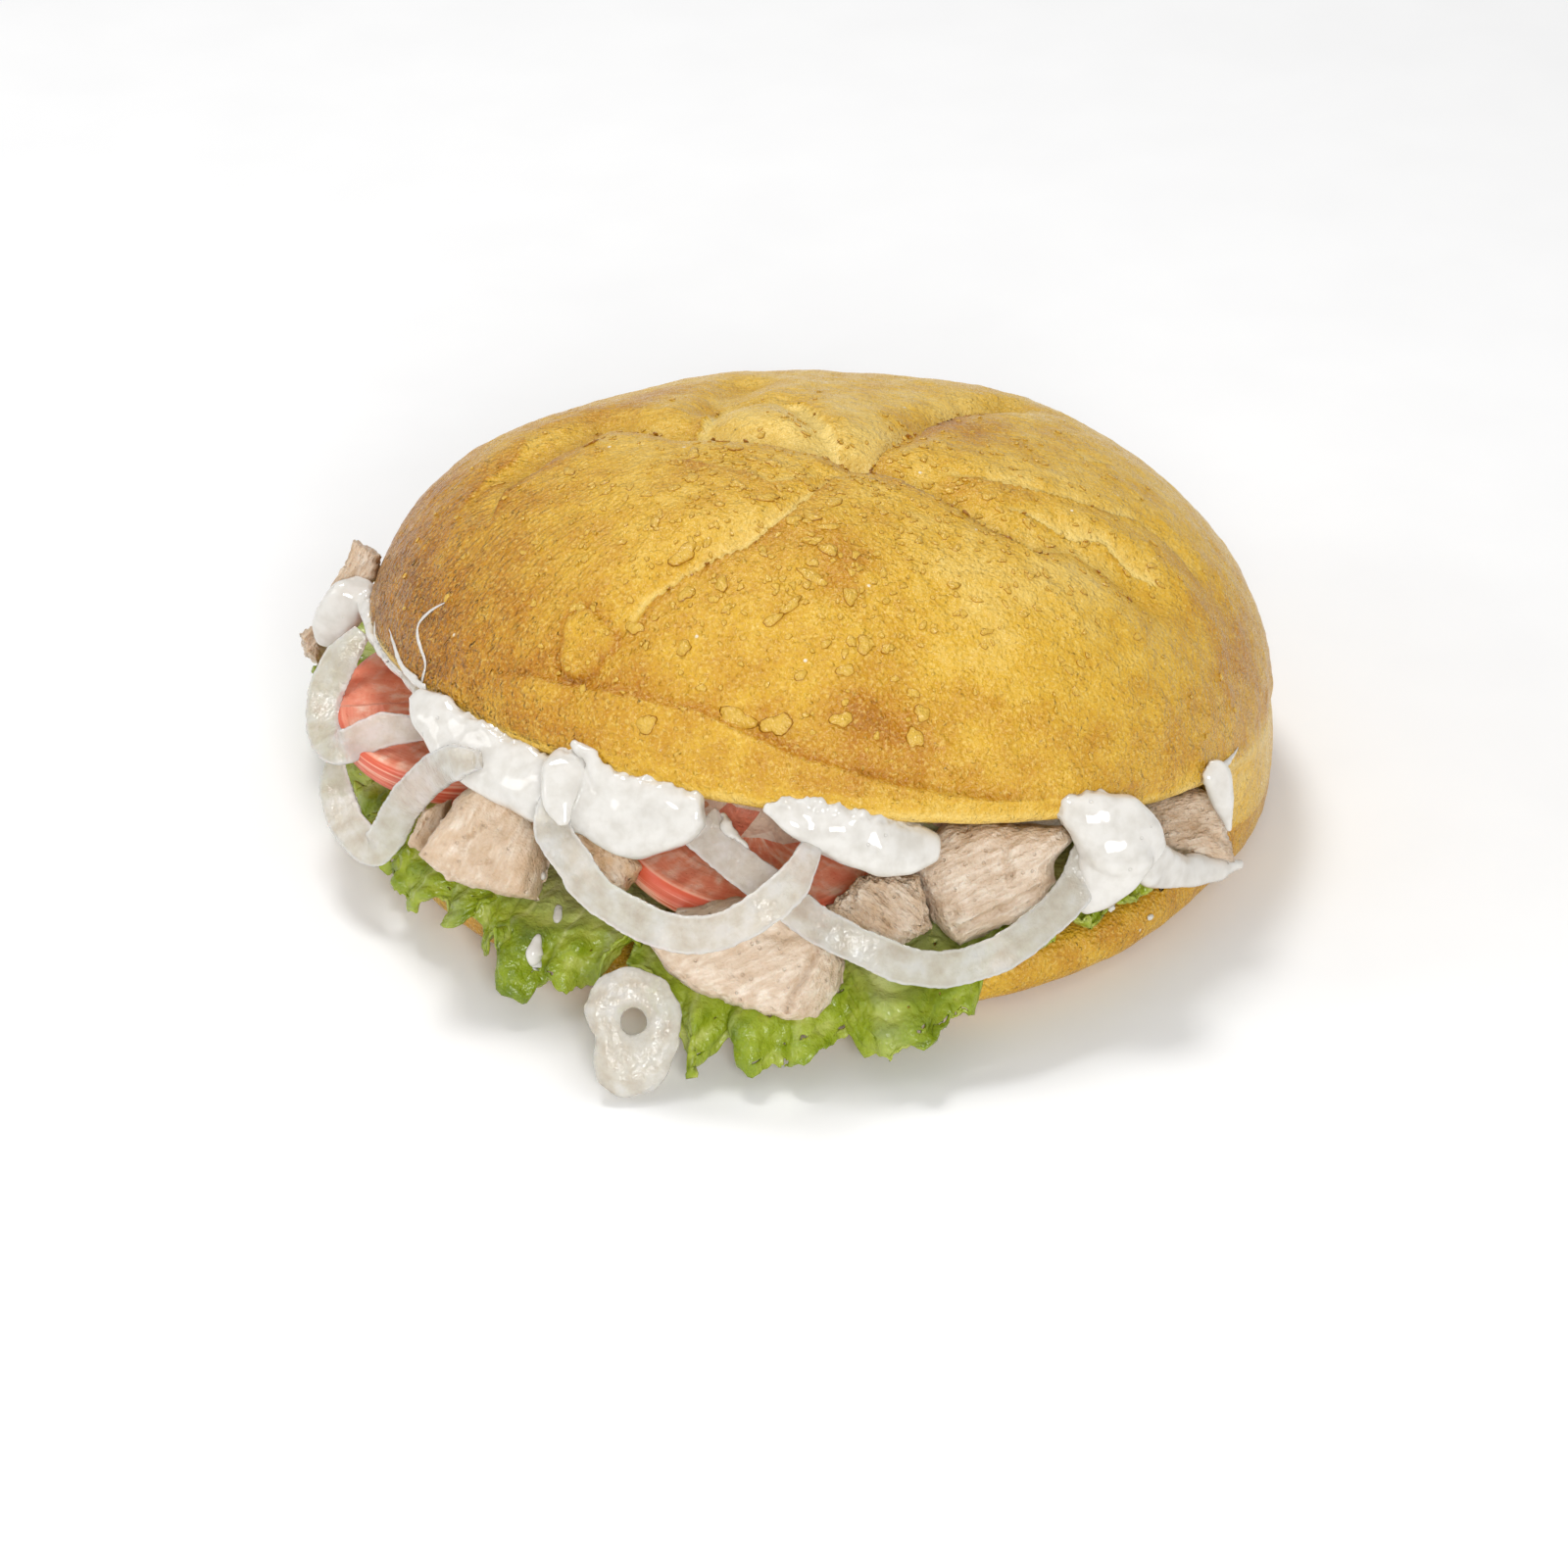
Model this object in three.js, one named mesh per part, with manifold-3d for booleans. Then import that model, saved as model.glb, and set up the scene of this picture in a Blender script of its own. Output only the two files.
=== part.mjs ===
// A doner kebab sandwich in a round bread bun, as solids for three.js.
// Millimetres, +Z up. The origin is the middle of the flat underside of the bun.
// -Y is the front, where the mouth of the bun shows its filling.
import * as THREE from "three";
import { mergeVertices } from "three/addons/utils/BufferGeometryUtils.js";
import Module from "manifold-3d";

const wasm = await Module();
wasm.setup();

// Bun: lower half, tilted upper half, and the uncut hinge between them
const bunRadius = 86;
const baseFlatRadius = 66;
const baseBulgeHeight = 6.5;
const hingeBulgeHeight = 4;
const baseLipHeight = 12.5;
const baseLipInset = 3;
const baseLipWave = { height: 0.4, azimuths: 13 };
const baseTurnInset = 3.5;
const baseTurnHeight = 0.35;
const lidCentre = new THREE.Vector3(1.3, -1.9, 31.7);
const lidTilt = 13.6;
const lidRadius = 85.5;
const lidHeight = 45;
const domeRadialPower = 2.96;
const domeHeightPower = 1.67;
const crown = [26, -8];
const rimFade = 0.08;
const reliefLean = 0.8;
const lipDepth = 3.6;
const lipCurl = 3.5;
const lidFaceArch = 1.2;
const lidLipBulge = { out: 1, down: 0.4 };
const baseLipBulge = { out: 0.9, up: 0.4 };
const wallBulge = 0.6;
const tiltAzimuth = 56;
const hingeAzimuth = 50;
const hingeInset = 16.5;
const mouthCornerAngle = 18;
const mouthFaceRows = 3;
const bunSides = 66;
const domeRings = 12;

// Gap that keeps neighbouring pieces apart, with some to spare where a grown surface is coarse
const clearance = 0.3;
const growth = 1.6 * clearance;
const fineDetail = 0.05;
const mediumDetail = 0.1;
const coarseDetail = 0.2;
const sameVertex = 1e-4;

const degrees = Math.PI / 180;
const crustMaterial = new THREE.MeshStandardMaterial({ color: 0xd4a552, roughness: 0.62 });
const meatMaterial = new THREE.MeshStandardMaterial({ color: 0xcbb08d, roughness: 0.7 });
const tomatoMaterial = new THREE.MeshStandardMaterial({ color: 0xc8593f, roughness: 0.35 });
const onionMaterial = new THREE.MeshStandardMaterial({ color: 0xd6d0c0, roughness: 0.25 });
const lettuceMaterial = new THREE.MeshStandardMaterial({ color: 0x7f9a2c, roughness: 0.5 });
const sauceMaterial = new THREE.MeshStandardMaterial({ color: 0xece9e3, roughness: 0.2 });
const heapMaterial = new THREE.MeshStandardMaterial({ color: 0xbfa07a, roughness: 0.75 });

const kebab = new THREE.Group();
const placed = [];

const clamp01 = (x) => Math.min(1, Math.max(0, x));
const smoothStep = (x) => clamp01(x) ** 2 * (3 - 2 * clamp01(x));
const mix = (a, b, t) => a + (b - a) * t;

// Joins, cuts and gaps

function solidFrom(geometry) {
  const bare = geometry.clone();
  for (const name of Object.keys(bare.attributes)) if (name !== "position") bare.deleteAttribute(name);
  const merged = mergeVertices(bare, sameVertex);
  return new wasm.Manifold(
    new wasm.Mesh({
      numProp: 3,
      vertProperties: merged.attributes.position.array,
      triVerts: new Uint32Array(merged.index.array),
    }),
  );
}

function geometryFrom(solid) {
  const mesh = solid.getMesh();
  const geometry = new THREE.BufferGeometry();
  geometry.setAttribute("position", new THREE.BufferAttribute(new Float32Array(mesh.vertProperties), 3));
  geometry.setIndex(new THREE.BufferAttribute(new Uint32Array(mesh.triVerts), 1));
  geometry.computeVertexNormals();
  return geometry;
}

// The solid with each vertex moved out along its normal.
function grown(solid, distance) {
  const geometry = geometryFrom(solid);
  const position = geometry.attributes.position;
  const normal = geometry.attributes.normal;
  for (let i = 0; i < position.count; i++) {
    position.setXYZ(
      i,
      position.getX(i) + normal.getX(i) * distance,
      position.getY(i) + normal.getY(i) * distance,
      position.getZ(i) + normal.getZ(i) * distance,
    );
  }
  return solidFrom(geometry);
}

function largestBody(solid) {
  return solid.decompose().reduce((a, b) => (b.volume() > a.volume() ? b : a));
}

function boxesMeet(a, b) {
  const [p, q] = [a.boundingBox(), b.boundingBox()];
  return [0, 1, 2].every((k) => p.min[k] < q.max[k] && q.min[k] < p.max[k]);
}

// Drops detail too small to matter, unless the piece would then touch another.
function simplified(solid, detail) {
  const simple = solid.setTolerance(detail);
  const clear = (other) => !boxesMeet(simple, other.solid) || simple.intersect(other.solid).volume() === 0;
  return placed.every(clear) ? simple : solid;
}

// Cuts a piece clear of those already in place, and adds it as a named mesh.
function place(name, piece, material, detail = fineDetail) {
  let cut = piece;
  for (const other of placed) {
    if (boxesMeet(cut, other.room)) cut = cut.subtract(other.room).subtract(other.solid);
  }
  const solid = simplified(largestBody(cut), detail);
  placed.push({ solid, room: grown(solid, growth) });
  const mesh = new THREE.Mesh(geometryFrom(solid), material);
  mesh.name = name;
  kebab.add(mesh);
}

// Frames

// The uncut side of the bun, and the level line that the lid is tilted about.
const hinge = new THREE.Vector3(Math.cos(hingeAzimuth * degrees), Math.sin(hingeAzimuth * degrees), 0);
const hingeLine = new THREE.Vector3(-hinge.y, hinge.x, 0);
const tiltAxis = new THREE.Vector3(-Math.sin(tiltAzimuth * degrees), Math.cos(tiltAzimuth * degrees), 0);

// From the lid's own frame, whose z is its height, to the part's frame.
function fromLid(x, y, z) {
  return new THREE.Vector3(x, y, z).applyAxisAngle(tiltAxis, lidTilt * degrees).add(lidCentre);
}

// A point at an azimuth in degrees, a distance from the bun's axis, and a height.
function polar(azimuth, radius, height) {
  return new THREE.Vector3(
    radius * Math.cos(azimuth * degrees),
    radius * Math.sin(azimuth * degrees),
    height,
  );
}

// Relief of the crust: creases between the swollen lobes, as plan points in the lid's frame
const creases = [
  {
    depth: 4.2,
    width: 7.5,
    points: [[-60, -12], [-46, 1], [-31, -10], [-1, -24], [14, -31], [26, -41], [38, -39], [52, -41]],
  },
  { depth: 3.6, width: 5.5, points: [[-1, -24], [8, -9], [17, 9], [30, 23]] },
  { depth: 2.6, width: 6, points: [[-31, -10], [-28, 2], [-20, 28]] },
  { depth: 1.8, width: 5, points: [[-26, 8], [-12, 8], [-3, -18]] },
  { depth: 1.8, width: 5, points: [[-2, -31], [-16, -53], [-38, -63], [-47, -66]] },
  { depth: 1.2, width: 5, points: [[12, -23], [34, -27], [56, -21], [67, -24]] },
  { depth: 1.2, width: 5, points: [[29, -33], [44, -34], [60, -38]] },
];
const lobes = [
  { height: 2.6, width: 24, at: [-12, -44] },
  { height: 1.6, width: 20, at: [34, -62] },
  { height: 1.6, width: 14, at: [-14, -4] },
  { height: 1.8, width: 22, at: [46, 4] },
  { height: -1.6, width: 13, at: [12, -80] },
  { height: -2.6, width: 32, at: [-42, 34] },
  { height: 1.6, width: 26, at: [30, 42] },
];
const creaseSteepness = 1.6;
const unevenness = 0.5;

function distanceToPath(x, y, points) {
  let nearest = Infinity;
  for (let i = 0; i + 1 < points.length; i++) {
    const [ax, ay] = points[i];
    const [bx, by] = points[i + 1];
    const length2 = (bx - ax) ** 2 + (by - ay) ** 2;
    const t = clamp01(((x - ax) * (bx - ax) + (y - ay) * (by - ay)) / length2);
    nearest = Math.min(nearest, Math.hypot(x - mix(ax, bx, t), y - mix(ay, by, t)));
  }
  return nearest;
}

// Height of the crust above the plain dome, at plan point x, y in the lid's frame.
function crustRelief(x, y) {
  let height = 0;
  for (const { depth, width, points } of creases) {
    height -= depth * Math.exp(-((distanceToPath(x, y, points) / width) ** 2) * creaseSteepness);
  }
  for (const lobe of lobes) {
    const reach = Math.hypot(x - lobe.at[0], y - lobe.at[1]) / lobe.width;
    height += lobe.height * Math.exp(-reach * reach);
  }
  return height + unevenness * Math.sin(x / 11 + 1) * Math.cos(y / 13);
}

// Bread

// How near an azimuth is to a middle one, from 1 to 0.
function near(azimuth, middle, spread) {
  const off = ((azimuth - middle + 540) % 360) - 180;
  return Math.exp(-((off / spread) ** 2));
}

// The crust is not quite round: this share of the radius is added at an azimuth.
function outOfRound(azimuth) {
  return 0.015 * near(azimuth, 170, 25) - 0.024 * near(azimuth, -8, 30) + 0.012 * near(azimuth, 100, 35);
}

// The lower half is rounder, and drawn in a little under the right of the mouth.
function outOfRoundBase(azimuth) {
  return 0.6 * outOfRound(azimuth) - 0.02 * near(azimuth, -35, 14);
}

// A point of the dome: turn around the lid, and share of the way from its crown to its rim.
function domePoint(azimuth, share) {
  const rimX = lidRadius * (1 + outOfRound(azimuth)) * Math.cos(azimuth * degrees);
  const rimY = lidRadius * (1 + outOfRound(azimuth)) * Math.sin(azimuth * degrees);
  const x = mix(crown[0], rimX, share);
  const y = mix(crown[1], rimY, share);
  const turn = Math.atan2(y, x) / degrees;
  const out = Math.min(1, Math.hypot(x, y) / (lidRadius * (1 + outOfRound(turn))));
  const height = lidHeight * (1 - out ** domeRadialPower) ** (1 / domeHeightPower);
  const relief = crustRelief(x, y) * smoothStep((1 - out) / rimFade);
  const lean = reliefLean * out ** 3;
  const swell = 1 + (relief * lean) / lidRadius;
  return fromLid(x * swell, y * swell, height + relief * (1 - lean));
}

// Degrees round the bun from the middle of the hinge, to either side.
const fromHinge = (azimuth) => ((azimuth - hingeAzimuth + 540) % 360) - 180;
const mouthCorner = Math.acos(hingeInset / bunRadius) / degrees;

// The way in from the mouth's lip to the straight line where the cut ends.
function mouthDepth(azimuth, radius) {
  const turn = fromHinge(azimuth);
  const corner = Math.min(1, (180 - Math.abs(turn)) / (180 - mouthCorner));
  const inset = (hingeInset * radius) / bunRadius;
  const side = Math.sign(turn) * corner * Math.sqrt(radius ** 2 - inset ** 2);
  const end = hinge.clone().multiplyScalar(inset).addScaledVector(hingeLine, side);
  return corner < 1 ? end.sub(polar(azimuth, radius, 0)) : new THREE.Vector3();
}

// 1 in the mouth, 0 along the uncut wall, easing over the mouth's corners.
function mouthShare(azimuth) {
  return smoothStep((Math.abs(fromHinge(azimuth)) - mouthCorner) / mouthCornerAngle + 0.5);
}

function baseRim(azimuth) {
  const share = smoothStep((Math.abs(fromHinge(azimuth)) - 40) / 60);
  return polar(
    azimuth,
    bunRadius * (1 + outOfRoundBase(azimuth)),
    mix(hingeBulgeHeight, baseBulgeHeight, share),
  );
}

// The crumb face of the upper half, from its lip to the hinge line; the lower half's likewise.
function lidFacePoint(azimuth, s) {
  const radius = (lidRadius - lipCurl) * (1 + outOfRound(azimuth));
  const point = polar(azimuth, radius, 0).addScaledVector(mouthDepth(azimuth, radius), s);
  return fromLid(point.x, point.y, -lipDepth + lidFaceArch * Math.sin(s * Math.PI));
}

function baseFacePoint(azimuth, s) {
  const radius = (bunRadius - baseLipInset) * (1 + outOfRoundBase(azimuth));
  const wave = baseLipWave.height * Math.sin(azimuth / baseLipWave.azimuths);
  const point = polar(azimuth, radius, baseLipHeight + wave);
  return point.addScaledVector(mouthDepth(azimuth, radius), s);
}

// The bun's profile at an azimuth, from the top of the dome to the middle of the underside.
function bunProfile(azimuth) {
  const points = [];
  for (let i = 0; i <= domeRings; i++) {
    points.push(domePoint(azimuth, Math.sin((i / domeRings) * 90 * degrees)));
  }
  const edge = points[domeRings];
  const rim = baseRim(azimuth);
  const mouth = [];
  const lidBulge = polar(azimuth, lidLipBulge.out, -lidLipBulge.down);
  const baseBulge = polar(azimuth, baseLipBulge.out, baseLipBulge.up);
  mouth.push(lidFacePoint(azimuth, 0).lerp(edge, 0.5).add(lidBulge));
  for (let i = 0; i <= mouthFaceRows; i++) mouth.push(lidFacePoint(azimuth, i / mouthFaceRows));
  for (let i = mouthFaceRows; i >= 0; i--) mouth.push(baseFacePoint(azimuth, i / mouthFaceRows));
  mouth.push(baseFacePoint(azimuth, 0).lerp(rim, 0.5).add(baseBulge));
  const share = mouthShare(azimuth);
  mouth.forEach((point, i) => {
    const s = (i + 1) / (mouth.length + 1);
    const wall = edge.clone().lerp(rim, s).add(polar(azimuth, wallBulge * Math.sin(s * Math.PI), 0));
    points.push(wall.lerp(point, share));
  });
  points.push(rim);
  points.push(polar(azimuth, Math.hypot(rim.x, rim.y) - baseTurnInset, rim.z * baseTurnHeight));
  points.push(polar(azimuth, mix(baseFlatRadius, bunRadius, 0.5), baseTurnHeight));
  points.push(polar(azimuth, baseFlatRadius, 0));
  points.push(new THREE.Vector3(0, 0, 0));
  return points;
}

function breadBun() {
  const profiles = [];
  for (let i = 0; i < bunSides; i++) profiles.push(bunProfile((i * 360) / bunSides));
  const rows = profiles[0].length - 1;
  const bun = new THREE.SphereGeometry(1, bunSides, rows);
  const position = bun.attributes.position;
  for (let row = 0; row <= rows; row++) {
    for (let side = 0; side <= bunSides; side++) {
      const p = profiles[side % bunSides][row];
      position.setXYZ(row * (bunSides + 1) + side, p.x, p.y, p.z);
    }
  }
  return solidFrom(bun);
}

place("bread", breadBun(), crustMaterial);

// Pieces that spill out of the mouth lean back by this angle, and are drawn in that plane:
// x to the right, y up the slope, z out of it.
const spillLean = 32 * degrees;
const slopeUp = new THREE.Vector3(0, Math.sin(spillLean), Math.cos(spillLean));
const slopeOut = new THREE.Vector3(0, -Math.cos(spillLean), Math.sin(spillLean));

function fromSlope(at, x, y, z) {
  return new THREE.Vector3(at[0] + x, at[1], at[2]).addScaledVector(slopeUp, y).addScaledVector(slopeOut, z);
}

function moveVertices(geometry, move) {
  const position = geometry.attributes.position;
  for (let i = 0; i < position.count; i++) {
    const p = move(position.getX(i), position.getY(i), position.getZ(i));
    position.setXYZ(i, p.x, p.y, p.z);
  }
  return geometry;
}

// Distance from the middle of an outline to its edge, in a direction given in radians.
function outlineReach(outline, angle) {
  const [dx, dy] = [Math.cos(angle), Math.sin(angle)];
  let reach = 0;
  outline.forEach(([ax, ay], i) => {
    const [bx, by] = outline[(i + 1) % outline.length];
    const [ex, ey] = [bx - ax, by - ay];
    const cross = dx * ey - dy * ex;
    if (Math.abs(cross) < 1e-9) return;
    const along = (ax * ey - ay * ex) / cross;
    const share = (ax * dy - ay * dx) / cross;
    if (along > 0 && share >= 0 && share <= 1) reach = Math.max(reach, along);
  });
  return reach;
}

// Torn cubes of cooked chicken: outline of the face, half depth, and boxiness
const chicken = [
  {
    at: [-61, -62, 28],
    depth: 9,
    outline: [[-4, 9], [0, 11], [8, 6], [11, 1], [11, -4], [9, -11], [4, -10], [-7, -7], [-12, -2], [-9, 2]],
  },
  { at: [-72, -49, 23], depth: 6, outline: [[4, 5], [-1, 3], [-4, -3], [-1, -5], [3, -2]] },
  { at: [-40, -68, 29], depth: 7, outline: [[-5, 7], [0, 6], [7, -3], [4, -7], [-3, -5], [-7, 2]] },
  {
    at: [-15, -87, 17],
    depth: 8,
    fine: true,
    outline: [
      [-17, 4], [-12, 10], [-2, 12], [7, 11], [12, 7], [17, 0],
      [16, -6], [14, -10], [11, -11], [0, -8], [-10, -4], [-14, -1],
    ],
  },
  { at: [8, -82, 24], depth: 7, outline: [[-9, 1], [-3, 6], [2, 7], [7, 6], [9, -3], [3, -6], [-1, -5]] },
  {
    at: [28, -74, 24],
    depth: 10,
    fine: true,
    outline: [
      [-12, 8], [-7, 11], [-1, 11], [13, 10], [15, 8], [11, 4],
      [11, 0], [8, -5], [-6, -11], [-11, -6], [-14, 3],
    ],
  },
  { at: [65, -49, 18], depth: 7, outline: [[-8, 5.5], [1, 8], [6, 6], [8, -6], [-1, -4], [-7, -4]] },
  { at: [-88, 12, 42], depth: 5, outline: [[0, 6], [5, 3], [4, -2], [-1, -3], [-5, -5], [-5, -3], [-2, 1]] },
  { at: [-97, 19, 22], depth: 11, outline: [[-3, 2], [1, 5], [3, 4], [2, 0], [1, -5], [-2, -2]] },
];
const chunkBoxiness = 5;
const tornDepth = 0.5;
const notchDepth = 0.3;

function chunkSolid({ at, depth, outline, fine }, seed) {
  const chunk = new THREE.IcosahedronGeometry(1, fine ? 3 : 2);
  moveVertices(chunk, (x, y, z) => {
    const flat = Math.hypot(x, y);
    const scale = (flat ** chunkBoxiness + Math.abs(z) ** chunkBoxiness) ** (-1 / chunkBoxiness);
    const angle = Math.atan2(y, x);
    const reach = outlineReach(outline, angle) * Math.min(1, flat * scale);
    const torn = tornDepth * Math.sin(7 * x + 3 * seed) * Math.sin(6 * y - seed);
    const notch = notchDepth * Math.sin(11 * z + 5 * x);
    return fromSlope(at, reach * Math.cos(angle), reach * Math.sin(angle), depth * z * scale + torn + notch);
  });
  return solidFrom(chunk);
}

chicken.forEach((piece, i) => {
  place(`chicken_${i + 1}`, chunkSolid(piece, i + 1), meatMaterial, mediumDetail);
});

// Tomato slices, with a rounded rim of skin
const tomatoes = [
  { at: [-63, -15, 27], radius: 28, thickness: 5.5, roll: 3, pitch: -2 },
  { at: [-14, -60, 26], radius: 24, thickness: 6, roll: 6, pitch: 6 },
];
const tomatoSides = 28;
const tomatoWaviness = 0.02;

// Half a slice's profile from the middle of one face to the other: share of radius, share of thickness
const rim = [[0, 0.5], [0.6, 0.5], [0.95, 0.5], [1, 0.18], [1, -0.2], [0.94, -0.5], [0.6, -0.5], [0, -0.5]];

function tomatoSolid({ at, radius, thickness, roll, pitch }) {
  const rows = rim.length - 1;
  const slice = new THREE.SphereGeometry(1, tomatoSides, rows);
  const turn = new THREE.Euler(roll * degrees, pitch * degrees, 0);
  const position = slice.attributes.position;
  for (let row = 0; row <= rows; row++) {
    for (let side = 0; side <= tomatoSides; side++) {
      const angle = ((side % tomatoSides) / tomatoSides) * 2 * Math.PI;
      const [share, rise] = rim[row];
      const reach = share * radius * (1 + tomatoWaviness * Math.sin(3 * angle + at[0]));
      const p = new THREE.Vector3(reach * Math.cos(angle), reach * Math.sin(angle), rise * thickness);
      p.applyEuler(turn);
      position.setXYZ(row * (tomatoSides + 1) + side, p.x + at[0], p.y + at[1], p.z + at[2]);
    }
  }
  return solidFrom(slice);
}

tomatoes.forEach((slice, i) => place(`tomato_${i + 1}`, tomatoSolid(slice), tomatoMaterial, mediumDetail));

// A strip along a path of [x, y, z, width, thickness], its broad side facing out of the mouth.
const stripSquareness = 0.7;

function stripSolid(path, sides, steps) {
  const middles = path.map((p) => new THREE.Vector3(p[0], p[1], p[2]));
  const curve = new THREE.CatmullRomCurve3(middles, false, "centripetal");
  const strip = new THREE.CylinderGeometry(1, 1, 1, sides, steps);
  const square = (a) => Math.sign(a) * Math.abs(a) ** stripSquareness;
  moveVertices(strip, (x, y, z) => {
    const t = y + 0.5;
    const centre = curve.getPoint(t);
    const along = curve.getTangent(t);
    const across = along.clone().cross(slopeOut).normalize();
    const out = across.clone().cross(along);
    const part = t * (path.length - 1);
    const i = Math.min(Math.floor(part), path.length - 2);
    const width = mix(path[i][3], path[i + 1][3], part - i);
    const thickness = mix(path[i][4], path[i + 1][4], part - i);
    return centre
      .addScaledVector(across, (square(x) * width) / 2)
      .addScaledVector(out, (square(z) * thickness) / 2);
  });
  return solidFrom(strip);
}

// Onion: four bent strips, given by points of their middles, and a small closed ring
const onionWidth = 6.6;
const onionThickness = 2.4;
const onionEnd = 3.5;
const onionStrips = [
  {
    path: [
      [-86, -4, 38], [-90, -7, 34], [-93, -13, 29], [-92, -22, 26],
      [-89, -27, 27], [-81, -30, 32], [-71, -35, 35],
    ],
  },
  {
    path: [
      [-91, -23, 21.5], [-90.5, -29, 18.5], [-88, -36, 16], [-83, -44, 15.5], [-80, -45, 19],
      [-77.5, -46.5, 24.5], [-74, -51, 32], [-69.5, -57, 39.5], [-65.2, -63.8, 45.8], [-61.2, -66.6, 47.8],
    ],
  },
  {
    start: 6.5,
    path: [
      [-43, -70, 45.5], [-46.5, -75, 45.5], [-48, -80, 42], [-45, -84, 38], [-42, -88, 35], [-36, -92, 32],
      [-31, -95, 31], [-24, -97, 30], [-18, -98, 32], [-12, -98, 36], [-7, -94, 38.5], [-3, -87, 42],
    ],
  },
  {
    start: 8.5,
    path: [
      [-23, -79, 41], [-18, -83, 37], [-10, -88, 33], [-3, -94, 30], [6, -97, 26], [13, -96, 22],
      [21, -94, 20], [29, -91, 21], [36.5, -86, 23.5], [42.5, -81, 27.5], [45, -77.5, 32], [46.5, -74, 36],
    ],
  },
];

function onionSolid({ path, start = onionEnd }) {
  const last = path.length - 1;
  const widths = path.map(() => onionWidth);
  widths[0] = start;
  widths[last] = onionEnd;
  return stripSolid(path.map((p, i) => [...p, widths[i], onionThickness]), 8, 2 * last);
}

onionStrips.forEach((strip, i) => place(`onion_${i + 1}`, onionSolid(strip), onionMaterial));

// The small ring: a hole with a broad tail below, given by its inner and outer edges
const smallRing = { at: [-35, -97, 12.5], hole: 2.4, thickness: 3.2, sides: 24 };
const smallRingEdge = [
  [8.5, 2], [6, 7.5], [0, 10], [-6, 8], [-9, 2], [-6.5, -3],
  [-7.5, -8], [-5.5, -12], [-1, -13.5], [5, -11], [8, -4],
];

function smallRingSolid() {
  const ring = new THREE.TorusGeometry(1, 0.5, 6, smallRing.sides);
  moveVertices(ring, (x, y, z) => {
    const angle = Math.atan2(y, x);
    const outer = outlineReach(smallRingEdge, angle);
    const middle = (outer + smallRing.hole) / 2;
    const half = (outer - smallRing.hole) / 2;
    const reach = middle + (Math.hypot(x, y) - 1) * 2 * half;
    return fromSlope(smallRing.at, reach * Math.cos(angle), reach * Math.sin(angle), z * smallRing.thickness);
  });
  return solidFrom(ring);
}

place("onion_5", smallRingSolid(), onionMaterial);

// Lettuce: each leaf runs from inside the mouth, over the lower lip, to a frilled edge given as
// azimuth, radius and height
const leaves = [
  {
    columns: 26,
    edge: [
      [152, 100, 9], [161, 106, 5], [170, 97, 8], [182, 94, 7], [198, 90, 6],
      [206, 90, 5], [216, 93, 4], [222, 91, 4], [225, 88, 7],
    ],
  },
  {
    columns: 12,
    edge: [[221, 90, 6], [227, 91, 4], [233, 96, 2], [238, 92, 2], [243, 90, 6], [247, 88, 10]],
  },
  {
    columns: 15,
    edge: [
      [246, 92, 6], [254, 100, 2], [256, 105, 2], [259, 98, 1.5],
      [262, 103, 1.5], [265, 101, 1.5], [270, 99, 1.5], [272, 95, 6],
    ],
  },
  {
    columns: 12,
    edge: [
      [271, 94, 5], [275, 106, 1.5], [278, 104, 1.5], [280, 99, 3],
      [284, 95, 6], [288, 90, 8], [292, 89, 11],
    ],
  },
  { columns: 12, edge: [[291, 91, 11], [297, 90, 12], [303, 89, 12], [310, 89, 13], [318, 87, 14.5]] },
];
const leafRows = 5;
const leafThickness = 0.7;
const leafRoot = { radius: 64, height: 14.6 };
const leafBendHeight = 20;
const leafEdgeLift = 0.8;
const frillOut = 1.6;
const frillUp = 1.5;
const frillsPerDegree = 0.85;
const uprightHeight = 3;
const leafStep = 0.01;

function edgeAt(edge, azimuth) {
  let i = 0;
  while (i < edge.length - 2 && azimuth > edge[i + 1][0]) i++;
  const t = clamp01((azimuth - edge[i][0]) / (edge[i + 1][0] - edge[i][0]));
  return [mix(edge[i][1], edge[i + 1][1], t), mix(edge[i][2], edge[i + 1][2], t)];
}

// A point of a leaf's middle surface, u along its edge and v from its root to its edge.
function leafPoint(edge, u, v) {
  const azimuth = mix(edge[0][0], edge[edge.length - 1][0], u);
  const [radius, height] = edgeAt(edge, azimuth);
  const frill = v * v;
  const wave = azimuth * frillsPerDegree;
  const bend = (a, b, c) => a * (1 - v) ** 2 + 2 * b * v * (1 - v) + c * v * v;
  const reach = bend(leafRoot.radius, radius, radius) + frillOut * frill * Math.cos(wave * 1.3);
  const lift = frillUp * frill * (1 + Math.sin(wave)) * Math.min(1, height / uprightHeight);
  return polar(azimuth, reach, bend(leafRoot.height, leafBendHeight, height + leafEdgeLift) + lift);
}

function leafSolid({ columns, edge }) {
  const leaf = new THREE.BoxGeometry(1, 1, 1, columns, leafRows, 1);
  moveVertices(leaf, (x, y, z) => {
    const [u, v] = [x + 0.5, y + 0.5];
    const centre = leafPoint(edge, u, v);
    const along = leafPoint(edge, u + leafStep, v).sub(leafPoint(edge, u - leafStep, v));
    const out = leafPoint(edge, u, v + leafStep).sub(leafPoint(edge, u, v - leafStep));
    const normal = along.cross(out).normalize();
    return centre.addScaledVector(normal, z * leafThickness);
  });
  return solidFrom(leaf);
}

leaves.forEach((leaf, i) => place(`lettuce_${i + 1}`, leafSolid(leaf), lettuceMaterial, mediumDetail));

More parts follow.
